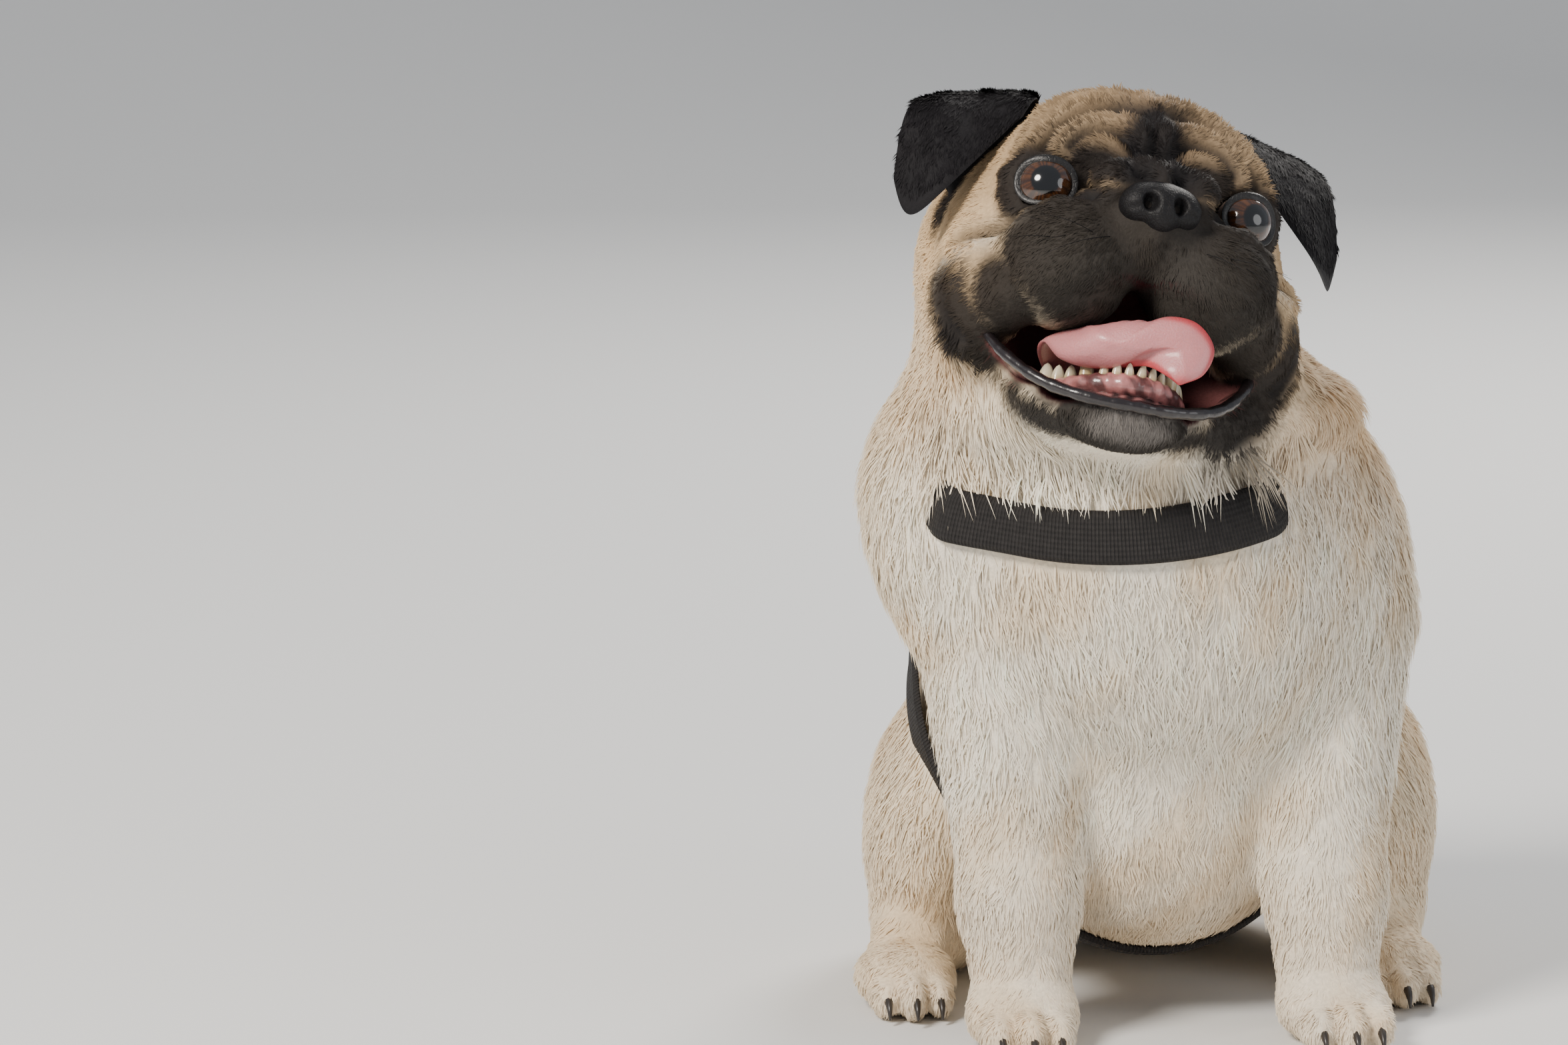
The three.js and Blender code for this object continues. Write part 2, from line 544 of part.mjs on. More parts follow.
// Tail, a curl that lies on the hip
const TAIL_PATH = [[24, 164, 118], [26, 176, 146], [14, 168, 170], [-10, 158, 172], [-18, 160, 150], [-4, 168, 140]];
const TAIL_RADIUS = 13;
const TAIL_STEPS = 18;
const tailSection = new THREE.Shape().absarc(0, 0, TAIL_RADIUS, 0, 2 * Math.PI);
const tailCurve = new THREE.CatmullRomCurve3(TAIL_PATH.map(V));
const tailTube = new THREE.ExtrudeGeometry(tailSection, {
  steps: TAIL_STEPS,
  curveSegments: 5,
  extrudePath: tailCurve,
  bevelEnabled: false,
});
const tailTip = new THREE.SphereGeometry(TAIL_RADIUS, 12, 8).translate(...TAIL_PATH[TAIL_PATH.length - 1]);
let tail = solidOf(tailTube).add(solidOf(tailTip));
tail = tail.subtract(wrapped({ ...TRUNK_SPINE, field: grownBy(trunk, GAP) }));
place("tail", tail, fawn);

let nose = noseSolid(0);
for (const [, side] of BOTH) {
  nose = nose.subtract(headBall(mirrored(NOSTRIL.at, side), NOSTRIL.size, 10));
  nose = nose.subtract(headBall(mirrored(NOSTRIL_SLIT.at, side), NOSTRIL_SLIT.size, 8, [0, -20 * side, 0]));
}
place("head", head, black);
place("lower_jaw", jaw, black);
place("nose", nose, leather);
place("tongue", tongue.subtract(jaw), pink);
place("torso", torso, cream);
place("neck", neck, fawn);
place("neck_band", neckBand, webbing);
place("girth_strap", girth, webbing);
place("back_strap", backStrapSolid(0).intersect(belowCollar).subtract(neckGroove).subtract(girthGroove), webbing);
place("harness_ring", ringSolid(), steel);

// The origin is the middle of the whole part on the floor
const bounds = new THREE.Box3().setFromObject(group);
const middle = bounds.getCenter(new THREE.Vector3());
group.position.set(-middle.x, -middle.y, -bounds.min.z);

export default group;
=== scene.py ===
"""A seated pug as a still, life-size model: one skin under a coat of short tufts, in a webbing harness.

All forms are worked out in millimetres in the dog's own frame (it faces -Y, its left is +X), and are
moved into the frame of the solids and into metres when a mesh is made.
"""
from __future__ import annotations

import logging
import math
from dataclasses import dataclass, fields
from enum import Enum
from itertools import product
from typing import Callable, ClassVar, Sequence

import bpy
import numpy as np
from mathutils import Matrix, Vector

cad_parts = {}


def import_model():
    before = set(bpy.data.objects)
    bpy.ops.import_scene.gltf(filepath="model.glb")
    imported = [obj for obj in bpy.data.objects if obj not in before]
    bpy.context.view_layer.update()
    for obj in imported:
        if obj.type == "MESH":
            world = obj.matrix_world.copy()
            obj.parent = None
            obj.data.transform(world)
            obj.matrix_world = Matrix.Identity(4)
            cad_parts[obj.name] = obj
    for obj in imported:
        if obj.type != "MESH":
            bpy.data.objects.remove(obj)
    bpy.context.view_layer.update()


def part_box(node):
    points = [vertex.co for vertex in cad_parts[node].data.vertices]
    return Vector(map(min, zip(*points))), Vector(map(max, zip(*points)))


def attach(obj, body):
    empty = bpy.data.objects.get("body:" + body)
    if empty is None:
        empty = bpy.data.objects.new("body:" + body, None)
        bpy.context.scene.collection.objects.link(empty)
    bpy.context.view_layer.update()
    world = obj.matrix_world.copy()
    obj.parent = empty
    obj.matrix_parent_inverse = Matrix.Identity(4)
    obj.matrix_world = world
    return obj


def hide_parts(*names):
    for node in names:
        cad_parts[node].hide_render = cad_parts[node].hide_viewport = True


log = logging.getLogger("pug")
Array = np.ndarray
Field = Callable[[Array, Array, Array], Array]
SIDES = (-1, 1)


class Slot(Enum):
    """Material slots of the record, passed with the scene's own pieces."""

    CREAM = "coat_cream"
    BLACK = "coat_black"
    EYE = "eye"
    NOSE = "nose_leather"
    TONGUE = "tongue"
    WEBBING = "webbing"
    RING = "ring"


# Arrays of numbers


def smooth(low: float, high: float, value: Array) -> Array:
    """Goes from 0 at low to 1 at high with level ends: 3t^2 - 2t^3."""
    t = np.clip((value - low) / (high - low), 0.0, 1.0)
    return t * t * (3.0 - 2.0 * t)


def unit(vectors: Array) -> Array:
    """Each row divided by its length."""
    return vectors / np.maximum(np.linalg.norm(vectors, axis=-1, keepdims=True), 1e-9)


def mix(first: Array, second: Array, amount: Array) -> Array:
    """Row by row (1 - amount) * first + amount * second."""
    return first + (np.asarray(second) - first) * amount[..., None]


def blend(a: Array, b: Array, soft: float) -> Array:
    """The lesser of two distances, less (h^2 soft / 4) where they are within soft of each other."""
    h = np.maximum(soft - np.abs(a - b), 0.0) / soft
    return np.minimum(a, b) - h * h * (soft / 4.0)


def carve(a: Array, b: Array, soft: float) -> Array:
    """Distance a with the shape of distance b taken out of it, its rim rounded by soft."""
    return -blend(-a, b, soft)


def curve(points: Sequence[Sequence[float]], count: int) -> Array:
    """Points evenly spaced in parameter on the Catmull-Rom curve through the given ones.

    Args:
        points: The points that it runs through.
        count: How many points to make.

    Returns:
        One point a row.
    """
    knots = np.asarray(points, float)
    ends = np.vstack([2 * knots[0] - knots[1], knots, 2 * knots[-1] - knots[-2]])
    t = np.linspace(0, len(knots) - 1 - 1e-9, count)
    i = t.astype(int)
    f = (t - i)[:, None]
    a, b, c, d = ends[i], ends[i + 1], ends[i + 2], ends[i + 3]
    return 0.5 * (2 * b + (c - a) * f + (2 * a - 5 * b + 4 * c - d) * f**2 + (3 * b - a - 3 * c + d) * f**3)


def near(points: Array, path: Array) -> Array:
    """Distance from each point to the nearest of a path's segments.

    Args:
        points: The places to measure from.
        path: The path's points in order.

    Returns:
        A distance for each place.
    """
    best = np.full(len(points), 1e6)
    for start, end in zip(path[:-1], path[1:]):
        along = end - start
        t = np.clip((points - start) @ along / max(float(along @ along), 1e-9), 0.0, 1.0)
        best = np.minimum(best, np.linalg.norm(points - start - t[:, None] * along, axis=1))
    return best


# Forms


@dataclass(frozen=True)
class Ball:
    """An ellipsoid: centre, half sizes, how softly it runs into the rest, and if both sides have it."""

    at: tuple[float, float, float]
    size: tuple[float, float, float]
    soft: float = 8.0
    pair: bool = False

    def distance(self, x: Array, y: Array, z: Array) -> Array:
        """k0 (k0 - 1) / k1, k0 and k1 the lengths of the point over the half sizes and their squares.

        Args:
            x, y, z: Coordinates, in mm.

        Returns:
            Distances, below zero inside.
        """
        dx, dy, dz = x - self.at[0], y - self.at[1], z - self.at[2]
        a, b, c = self.size
        k0 = np.sqrt((dx / a) ** 2 + (dy / b) ** 2 + (dz / c) ** 2)
        k1 = np.sqrt((dx / a**2) ** 2 + (dy / b**2) ** 2 + (dz / c**2) ** 2)
        return k0 * (k0 - 1.0) / np.maximum(k1, 1e-6)


@dataclass(frozen=True)
class Limb:
    """A round limb that tapers between two points."""

    start: tuple[float, float, float]
    end: tuple[float, float, float]
    radii: tuple[float, float]
    soft: float = 8.0
    pair: bool = False

    def distance(self, x: Array, y: Array, z: Array) -> Array:
        """Distance to the segment less the radius at the nearest place on it.

        Args:
            x, y, z: Coordinates, in mm.

        Returns:
            Distances, below zero inside.
        """
        ax, ay, az = (e - s for s, e in zip(self.start, self.end))
        px, py, pz = x - self.start[0], y - self.start[1], z - self.start[2]
        t = np.clip((px * ax + py * ay + pz * az) / (ax * ax + ay * ay + az * az), 0.0, 1.0)
        away = np.sqrt((px - t * ax) ** 2 + (py - t * ay) ** 2 + (pz - t * az) ** 2)
        return away - (self.radii[0] + (self.radii[1] - self.radii[0]) * t)


def fused(forms: Sequence[Ball | Limb], x: Array, y: Array, z: Array) -> Array:
    """Distance to all the forms, each blended in by its own softness.

    Args:
        forms: The forms.
        x, y, z: Coordinates, in mm.

    Returns:
        Distances, below zero inside.
    """
    total = np.full(np.broadcast(x, y, z).shape, 400.0, np.float32)
    for form in forms:
        total = blend(total, form.distance(x, y, z), form.soft)
        if form.pair:
            total = blend(total, form.distance(-x, y, z), form.soft)
    return total


class HeadFrame:
    """The head's own frame: its origin is between the eyes, -Y points out of the nose."""

    ORIGIN = np.array([-25.0, -58.0, 335.0])
    YAW, PITCH, ROLL = 8.0, 20.0, 12.0

    def __init__(self) -> None:
        """Turns by roll about Y, then pitch about X, then yaw about Z."""
        yaw, pitch, roll = (math.radians(a) for a in (self.YAW, -self.PITCH, self.ROLL))
        cos_yaw, sin_yaw = math.cos(yaw), math.sin(yaw)
        cos_pitch, sin_pitch = math.cos(pitch), math.sin(pitch)
        cos_roll, sin_roll = math.cos(roll), math.sin(roll)
        turn_z = np.array([[cos_yaw, -sin_yaw, 0], [sin_yaw, cos_yaw, 0], [0, 0, 1]])
        turn_x = np.array([[1, 0, 0], [0, cos_pitch, -sin_pitch], [0, sin_pitch, cos_pitch]])
        turn_y = np.array([[cos_roll, 0, sin_roll], [0, 1, 0], [-sin_roll, 0, cos_roll]])
        self.turn = turn_z @ turn_x @ turn_y

    def inside(self, points: Array) -> Array:
        """Points of the dog's frame in the head's frame."""
        return (points - self.ORIGIN) @ self.turn

    def out(self, points: Array) -> Array:
        """Points of the head's frame in the dog's frame."""
        return np.asarray(points, float) @ self.turn.T + self.ORIGIN

    def split(self, x: Array, y: Array, z: Array) -> tuple[Array, Array, Array]:
        """Coordinates of the head's frame from arrays of the dog's frame.

        Args:
            x, y, z: Coordinates, in mm.

        Returns:
            The three coordinates in the head's frame.
        """
        dx, dy, dz = (v - o for v, o in zip((x, y, z), self.ORIGIN))
        m = self.turn
        return tuple(dx * m[0, i] + dy * m[1, i] + dz * m[2, i] for i in range(3))


HEAD = HeadFrame()


class Animal:
    """The pug's forms, the same as those of the solids, with the mouth and the eyes opened."""

    EYE_AT = (41.0, -41.0, 0.0)
    EYE_RADIUS = 12.0
    EYE_OUTWARD = 16.0
    MOUTH = Ball((0, -44, -60), (57, 44, 24))
    HEAD_FORMS = (
        Ball((2, 6, 8), (61, 54, 47), 8),
        Ball((3, -14, 17), (54, 33, 35), 14),
        Ball((36, 2, -14), (37, 38, 34), 16, True),
        Ball((29, -34, 17), (20, 13, 12), 10, True),
        Ball((43, -34, 0), (17, 15, 18), 8, True),
        Ball((0, -50, -17), (25, 20, 19), 8),
        Ball((0, -54, 4), (27, 13, 8), 7),
        Ball((28, -45, -30), (29, 27, 27), 8, True),
        Ball((47, -12, -40), (30, 31, 30), 14, True),
        Ball((0, 18, -56), (66, 44, 46), 16),
        Ball((0, -20, -80), (44, 38, 24), 10),
        Ball((0, -46, -89), (29, 19, 18), 8),
    )
    FLEWS = (
        Ball((30, -44, -36), (26, 25, 22), 8, True),
        Ball((50, -28, -44), (14, 18, 17), 8, True),
    )
    VESTIBULE = Ball((0, -50, -80), (42, 16, 8))
    CLEFT = Limb((0, -76, -14), (0, -69.5, -37), (2.4, 2.0))
    NOSE_BASE = (Ball((0, -62, -10), (17, 10.5, 12), 6),)
    NOSE_ROLL = (
        Limb((-15, -60, 3), (15, -60, 3), (6.5, 6.5), 5),
        Limb((17, -60, 0), (26, -52, -10), (6, 5), 6, True),
    )
    FLEW_SINK, NOSE_SINK = 1.2, 1.5
    SOCKET_AHEAD, SOCKET_SIZE = 13, (10.4, 11, 7.2)
    TRUNK_FORMS = (
        Limb((0, -20, 300), (0, -14, 232), (80, 94), 22),
        Ball((8, -54, 262), (92, 60, 33), 14),
        Ball((6, -28, 186), (104, 84, 92), 24),
        Ball((72, -20, 205), (44, 54, 64), 24, True),
        Ball((0, 28, 232), (74, 62, 56), 30),
        Ball((0, -8, 96), (70, 72, 72), 22),
        Ball((0, 52, 122), (106, 98, 98), 30),
        Ball((0, 112, 84), (100, 78, 84), 30),
    )
    FORELEG_FORMS = (
        Limb((66, -40, 170), (64, -66, 62), (42, 27), 18),
        Limb((64, -66, 62), (64, -74, 24), (26, 22), 10),
        Ball((65, -84, 14), (25, 26, 17), 8),
        Ball((54, -106, 11), (9, 17, 11), 4),
        Ball((66, -111, 12), (8.5, 18, 12), 4),
        Ball((78, -105, 11), (9, 17, 11), 4),
    )
    THIGH_FORMS = (
        Ball((88, 66, 66), (40, 72, 64), 14),
        Limb((98, 74, 22), (102, 16, 20), (22, 19), 14),
    )
    HIND_PAW_FORMS = (
        Ball((104, -8, 14), (23, 28, 16), 8),
        Ball((93, -30, 10), (8, 15, 10), 4),
        Ball((104, -34, 11), (8, 16, 11), 4),
        Ball((115, -29, 10), (8, 15, 10), 4),
    )
    TAIL_PATH = (
        (24, 164, 118), (26, 176, 146), (14, 168, 170), (-10, 158, 172), (-18, 160, 150), (-4, 168, 140)
    )
    TAIL_RADIUS = 13.0
    TAIL_TAPER = 0.02
    LEAN, LEAN_FROM, SWAY = 0.16, 140.0, 0.2
    FLOOR = 1.2

    def gaze(self, side: int) -> Array:
        """The way an eye looks, in the head's frame."""
        turn = math.radians(self.EYE_OUTWARD)
        return np.array([side * math.sin(turn), -math.cos(turn), 0.0])

    def eye(self, side: int) -> Array:
        """An eye's centre in the head's frame."""
        return np.array([side * self.EYE_AT[0], self.EYE_AT[1], self.EYE_AT[2]])

    def trunk(self, x: Array, y: Array, z: Array) -> Array:
        """Distance to the outside of the coat of the neck and trunk, which lean to the dog's right."""
        sway = self.SWAY * np.maximum(y, 0.0)
        return fused(self.TRUNK_FORMS, x + self.LEAN * np.maximum(z - self.LEAN_FROM, 0.0) - sway, y, z)

    def flesh(self, x: Array, y: Array, z: Array) -> Array:
        """Distance to the outside of the whole coat, before the mouth and the eyes are opened.

        Args:
            x, y, z: Coordinates, in mm.

        Returns:
            Distances, below zero inside.
        """
        sway = self.SWAY * np.maximum(y, 0.0)
        total = self.trunk(x, y, z)
        total = blend(total, fused(self.HEAD_FORMS, *HEAD.split(x, y, z)), 10)
        for side in SIDES:
            across = side * (x - sway)
            for forms, soft in ((self.FORELEG_FORMS, 10), (self.THIGH_FORMS, 14), (self.HIND_PAW_FORMS, 8)):
                total = blend(total, fused(forms, across, y, z), soft)
        path = curve(self.TAIL_PATH, 15)
        radius, taper = self.TAIL_RADIUS, self.TAIL_TAPER
        tail = [
            Limb(tuple(a), tuple(b), (radius * (1 - taper * i), radius * (1 - taper - taper * i)), 3)
            for i, (a, b) in enumerate(zip(path[:-1], path[1:]))
        ]
        return blend(total, fused(tail, x, y, z), 5)

    def coat_depth(self, x: Array, y: Array, z: Array) -> Array:
        """How far the skin lies under the coat: about 2 mm on face and feet, 5 mm on neck and trunk.

        Args:
            x, y, z: Coordinates, in mm.

        Returns:
            Depths in millimetres.
        """
        hy = HEAD.split(x, y, z)[1]
        face = 1 - smooth(-20, 45, hy)
        head = smooth(235, 290, z) * face
        feet = 1 - smooth(25, 110, z)
        return 5.0 - 3.2 * np.maximum(head, feet)

    def wetness(self, hx: Array, hy: Array, hz: Array) -> Array:
        """1 on the mouth's lining and 0 on the coat, from places in the head's frame."""
        hollow = np.minimum(self.MOUTH.distance(hx, hy, hz), self.VESTIBULE.distance(hx, hy, hz))
        return smooth(3.2, 1.4, hollow) * smooth(2.0, 4.5, fused(self.FLEWS, hx, hy, hz) + self.FLEW_SINK)

    def skin(self, x: Array, y: Array, z: Array) -> Array:
        """Distance to the skin, with the mouth, the lids' openings and the floor taken off.

        Args:
            x, y, z: Coordinates, in mm.

        Returns:
            Distances, below zero inside.
        """
        hx, hy, hz = HEAD.split(x, y, z)
        total = self.flesh(x, y, z) + self.coat_depth(x, y, z)
        total = carve(total, self.MOUTH.distance(hx, hy, hz), 5)
        total = carve(total, self.VESTIBULE.distance(hx, hy, hz), 4)
        total = blend(total, fused(self.FLEWS, hx, hy, hz) + self.FLEW_SINK, 7)
        total = blend(total, fused(self.NOSE_BASE + self.NOSE_ROLL, hx, hy, hz) + self.NOSE_SINK, 6)
        total = carve(total, self.CLEFT.distance(hx, hy, hz), 3.0)
        for side in SIDES:
            centre = self.eye(side)
            ball = np.sqrt((hx - centre[0]) ** 2 + (hy - centre[1]) ** 2 + (hz - centre[2]) ** 2)
            total = carve(total, ball - self.EYE_RADIUS - 0.2, 1.0)
            ahead = centre + self.SOCKET_AHEAD * self.gaze(side)
            total = carve(total, Ball(tuple(ahead), self.SOCKET_SIZE).distance(hx, hy, hz), 2.2)
        return np.maximum(total, self.FLOOR + 0.6 - z)


# Meshes


def surface_nets(values: Array, axes: Sequence[Array]) -> tuple[Array, Array]:
    """The zero surface of a lattice of values.

    Each cell that the surface crosses gets one point, the mean of the crossings on its twelve edges,
    and each lattice edge that it crosses gets a face between the four cells around it.

    Args:
        values: Distances at the lattice points, below zero inside.
        axes: The lattice's coordinates along x, y and z.

    Returns:
        The points, and the faces as rows of four indices that point outwards.
    """
    inside = values < 0
    shape = np.array(values.shape) - 1
    count = np.zeros(shape, np.uint8)
    for i, j, k in np.ndindex(2, 2, 2):
        count += inside[i : shape[0] + i, j : shape[1] + j, k : shape[2] + k]
    cells = np.argwhere((count > 0) & (count < 8))
    number = np.full(shape, -1, np.int32)
    number[tuple(cells.T)] = np.arange(len(cells), dtype=np.int32)
    total = np.zeros((len(cells), 3))
    hits = np.zeros(len(cells))
    for axis in range(3):
        step = np.eye(3, dtype=int)[axis]
        others = [a for a in range(3) if a != axis]
        for p, q in np.ndindex(2, 2):
            low = cells.copy()
            low[:, others[0]] += p
            low[:, others[1]] += q
            high = low + step
            a, b = values[tuple(low.T)], values[tuple(high.T)]
            crossed = (a < 0) != (b < 0)
            t = np.where(crossed, a / np.where(crossed, a - b, 1.0), 0.0)
            first = np.stack([axes[d][low[:, d]] for d in range(3)], 1)
            second = np.stack([axes[d][high[:, d]] for d in range(3)], 1)
            total += np.where(crossed[:, None], first + t[:, None] * (second - first), 0.0)
            hits += crossed
    faces = []
    for axis in range(3):
        u, v = (axis + 1) % 3, (axis + 2) % 3
        head, tail = [slice(None)] * 3, [slice(None)] * 3
        head[axis], tail[axis] = slice(0, -1), slice(1, None)
        starts = np.argwhere(inside[tuple(head)] != inside[tuple(tail)])
        keep = (starts[:, u] > 0) & (starts[:, v] > 0)
        keep &= (starts[:, u] < shape[u]) & (starts[:, v] < shape[v])
        starts = starts[keep]
        ring = []
        for du, dv in ((-1, -1), (0, -1), (0, 0), (-1, 0)):
            cell = starts.copy()
            cell[:, u] += du
            cell[:, v] += dv
            ring.append(number[tuple(cell.T)])
        quad = np.stack(ring, 1)
        rising = inside[tuple(starts.T)]
        quad[~rising] = quad[~rising][:, ::-1]
        faces.append(quad)
    return total / hits[:, None], np.concatenate(faces)


def lattice(bands: Sequence[tuple[float, float]], start: float) -> Array:
    """Coordinates from start on: each band goes up to its end by its step.

    Args:
        bands: Pairs of a band's end and its step.
        start: The first coordinate.

    Returns:
        The coordinates in rising order.
    """
    parts = [np.array([start])]
    for end, step in bands:
        count = max(1, round((end - parts[-1][-1]) / step))
        parts.append(np.linspace(parts[-1][-1], end, count + 1)[1:])
    return np.concatenate(parts)


def sampled(field: Field, axes: Sequence[Array], slab: int = 6) -> Array:
    """A field's values on a lattice, worked out a few layers at a time.

    Args:
        field: The field.
        axes: The lattice's coordinates along x, y and z.
        slab: Layers worked out at a time.

    Returns:
        A value for each lattice point.
    """
    xs, ys, zs = (a.astype(np.float32) for a in axes)
    layers = [
        np.broadcast_to(
            field(xs[i : i + slab, None, None], ys[None, :, None], zs[None, None, :]),
            (len(xs[i : i + slab]), len(ys), len(zs)),
        )
        for i in range(0, len(xs), slab)
    ]
    return np.concatenate(layers)


def slope(field: Field, points: Array, step: float = 0.3) -> tuple[Array, Array]:
    """A field's value and its gradient at points, by forward differences.

    Args:
        field: The field.
        points: The places.
        step: How far the field is moved for each difference.

    Returns:
        A value and a gradient for each place.
    """
    x, y, z = points.T
    here = field(x, y, z)
    moved = (field(x + step, y, z), field(x, y + step, z), field(x, y, z + step))
    return here, np.stack([(m - here) / step for m in moved], 1)


def settled(field: Field, points: Array, rounds: int = 2) -> Array:
    """Points moved onto the field's zero surface by steps of value over gradient.

    Args:
        field: The field.
        points: Points close to the surface.
        rounds: How often they are moved.

    Returns:
        The moved points.
    """
    for _ in range(rounds):
        here, rise = slope(field, points)
        size = np.maximum(np.sum(rise * rise, 1), 0.05)
        points = points - rise * np.clip(here / size, -1.5, 1.5)[:, None]
    return points


class Workshop:
    """Turns arrays into Blender pieces that ride on the model's one body."""

    def __init__(self, shift: Array) -> None:
        """Keeps the shift, and where the floor is in the dog's frame.

        Args:
            shift: From the dog's frame to the solids', in mm.
        """
        self.shift = shift
        self.lowest = 0.3 - float(shift[2])
        self.triangles = 0
        self.pieces = 0

    def node_box(self, node: str) -> tuple[Array, Array]:
        """The corners of a solid's box in the dog's frame, in millimetres."""
        low, high = (np.array(corner) * 1000.0 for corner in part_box(node))
        return low - self.shift, high - self.shift

    def piece(
        self,
        name: str,
        points: Array,
        faces: Array,
        material: bpy.types.Material,
        slot: Slot,
        tone: Array | None = None,
        uv: Array | None = None,
        uv_name: str = "UVMap",
        normals: Array | None = None,
        replaces: Sequence[str] = (),
    ) -> bpy.types.Object:
        """Makes a mesh piece.

        Args:
            name: The piece's name.
            points: Its points in the dog's frame, in millimetres.
            faces: Rows of three or four indices.
            material: Its finish.
            slot: The record's slot that the finish belongs to; not used.
            tone: A colour for each point, if its finish reads them.
            uv: A place on the map for each point, if any.
            uv_name: The map's name.
            normals: A shading normal for each point, if not the mesh's own.
            replaces: The solids it stands for.

        Returns:
            The new object, at the origin.
        """
        mesh = bpy.data.meshes.new(name)
        sides = faces.shape[1]
        points = points.copy()
        points[:, 2] = np.maximum(points[:, 2], self.lowest)
        mesh.vertices.add(len(points))
        mesh.vertices.foreach_set("co", ((points + self.shift) / 1000.0).astype(np.float32).ravel())
        mesh.loops.add(faces.size)
        mesh.loops.foreach_set("vertex_index", faces.astype(np.int32).ravel())
        mesh.polygons.add(len(faces))
        mesh.polygons.foreach_set("loop_start", np.arange(0, faces.size, sides, dtype=np.int32))
        mesh.update(calc_edges=True)
        mesh.shade_smooth()
        if normals is not None:
            mesh.normals_split_custom_set_from_vertices(normals.astype(np.float32))
        if tone is not None:
            layer = mesh.color_attributes.new("Tone", "FLOAT_COLOR", "POINT")
            colours = np.ones((len(points), 4), np.float32)
            colours[:, :3] = np.clip(tone, 0.0, 1.0)
            layer.data.foreach_set("color", colours.ravel())
        if uv is not None:
            layer = mesh.uv_layers.new(name=uv_name)
            layer.data.foreach_set("uv", uv[faces.ravel()].astype(np.float32).ravel())
        mesh.materials.append(material)
        made = bpy.data.objects.new(name, mesh)
        bpy.context.scene.collection.objects.link(made)
        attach(made, "root")
        if replaces:
            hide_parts(*replaces)
        count = len(faces) * (sides - 2)
        self.triangles += count
        self.pieces += 1
        log.info("%s: %d triangles", name, count)
        return made


def grid_faces(rows: int, columns: int, is_ring: bool = True, start: int = 0) -> Array:
    """Quads between the points of a grid whose rows close on themselves if is_ring.

    Args:
        rows: Rows of points.
        columns: Points in a row.
        is_ring: Whether each row closes on itself.
        start: The first point's index.

    Returns:
        Rows of four indices.
    """
    i, j = np.meshgrid(np.arange(rows - 1), np.arange(columns if is_ring else columns - 1), indexing="ij")
    k = (j + 1) % columns
    quads = np.stack([i * columns + j, i * columns + k, (i + 1) * columns + k, (i + 1) * columns + j], -1)
    return quads.reshape(-1, 4) + start


def outward(points: Array, faces: Array) -> Array:
    """The quads of a closed mesh turned to face outwards, by the sign of its volume.

    Args:
        points: The mesh's points.
        faces: Rows of four indices.

    Returns:
        The same quads, or all of them reversed.
    """
    a, b, c, d = (points[faces[:, i]] - points.mean(0) for i in range(4))
    volume = float((a * np.cross(b, c)).sum() + (a * np.cross(c, d)).sum())
    return faces[:, ::-1] if volume < 0 else faces


def joined(meshes: Sequence[tuple[Array, Array]]) -> tuple[Array, Array]:
    """Several meshes as one: each one's indices are moved on by the points before it.

    Args:
        meshes: Pairs of points and faces.

    Returns:
        The points and faces of all of them.
    """
    starts = np.cumsum([0] + [len(points) for points, _ in meshes[:-1]])
    faces = [faces + start for (_, faces), start in zip(meshes, starts)]
    return np.concatenate([points for points, _ in meshes]), np.concatenate(faces)


def tube(
    path: Array, radii: Array, sides: int, squash: float = 1.0, up: Array | None = None
) -> tuple[Array, Array]:
    """A closed tube along a path: rings of r (cos a across + squash sin a up), its ends drawn to points.

    Args:
        path: The middle of each ring.
        radii: The radius of each ring.
        sides: Points round a ring.
        squash: Height over width of the section.
        up: The way the section's height points, for each ring or for all.

    Returns:
        Points and quads.
    """
    ahead = unit(np.gradient(path, axis=0))
    reference = np.broadcast_to(np.array([0.0, 0.0, 1.0]) if up is None else up, path.shape)
    across = unit(np.cross(ahead, reference))
    over = np.cross(across, ahead)
    a = np.linspace(0, 2 * math.pi, sides, endpoint=False)
    ring = np.cos(a)[None, :, None] * across[:, None] + squash * np.sin(a)[None, :, None] * over[:, None]
    rows = path[:, None] + ring * radii[:, None, None]
    first = np.repeat(path[:1, None], sides, 1)
    last = np.repeat(path[-1:, None], sides, 1)
    rows = np.concatenate([first, rows, last])
    return rows.reshape(-1, 3), grid_faces(len(rows), sides)[:, ::-1]


# Finishes


class Nodes:
    """Adds nodes to a shader tree and joins them."""

    def __init__(self, tree: bpy.types.NodeTree) -> None:
        """Keeps the tree to add to."""
        self.tree = tree

    def add(self, kind: str, inputs: dict | None = None, **settings) -> bpy.types.Node:
        """A node with its settings, and its inputs set to values or joined to sockets.

        Args:
            kind: The node's type.
            inputs: A value or a socket for each input, by name.
            settings: The node's own properties.

        Returns:
            The new node.
        """
        node = self.tree.nodes.new(kind)
        for name, value in settings.items():
            setattr(node, name, value)
        for name, value in (inputs or {}).items():
            if isinstance(value, bpy.types.NodeSocket):
                self.tree.links.new(value, node.inputs[name])
            else:
                node.inputs[name].default_value = value
        return node

    def math(self, operation: str, first: object, second: object = 0.0) -> bpy.types.NodeSocket:
        """The output of a Math node."""
        node = self.add("ShaderNodeMath", {0: first, 1: second}, operation=operation)
        return node.outputs[0]

    def mixed(
        self, amount: object, first: object, second: object, mode: str = "MIX"
    ) -> bpy.types.NodeSocket:
        """The output of a colour Mix node.

        Args:
            amount: How much of the second colour there is.
            first: A colour or a socket.
            second: A colour or a socket.
            mode: How they are mixed.

        Returns:
            The mixed colour.
        """
        node = self.add("ShaderNodeMix", data_type="RGBA", blend_type=mode)
        for index, value in ((0, amount), (6, first), (7, second)):
            if isinstance(value, bpy.types.NodeSocket):
                self.tree.links.new(value, node.inputs[index])
            else:
                node.inputs[index].default_value = value
        return node.outputs[2]


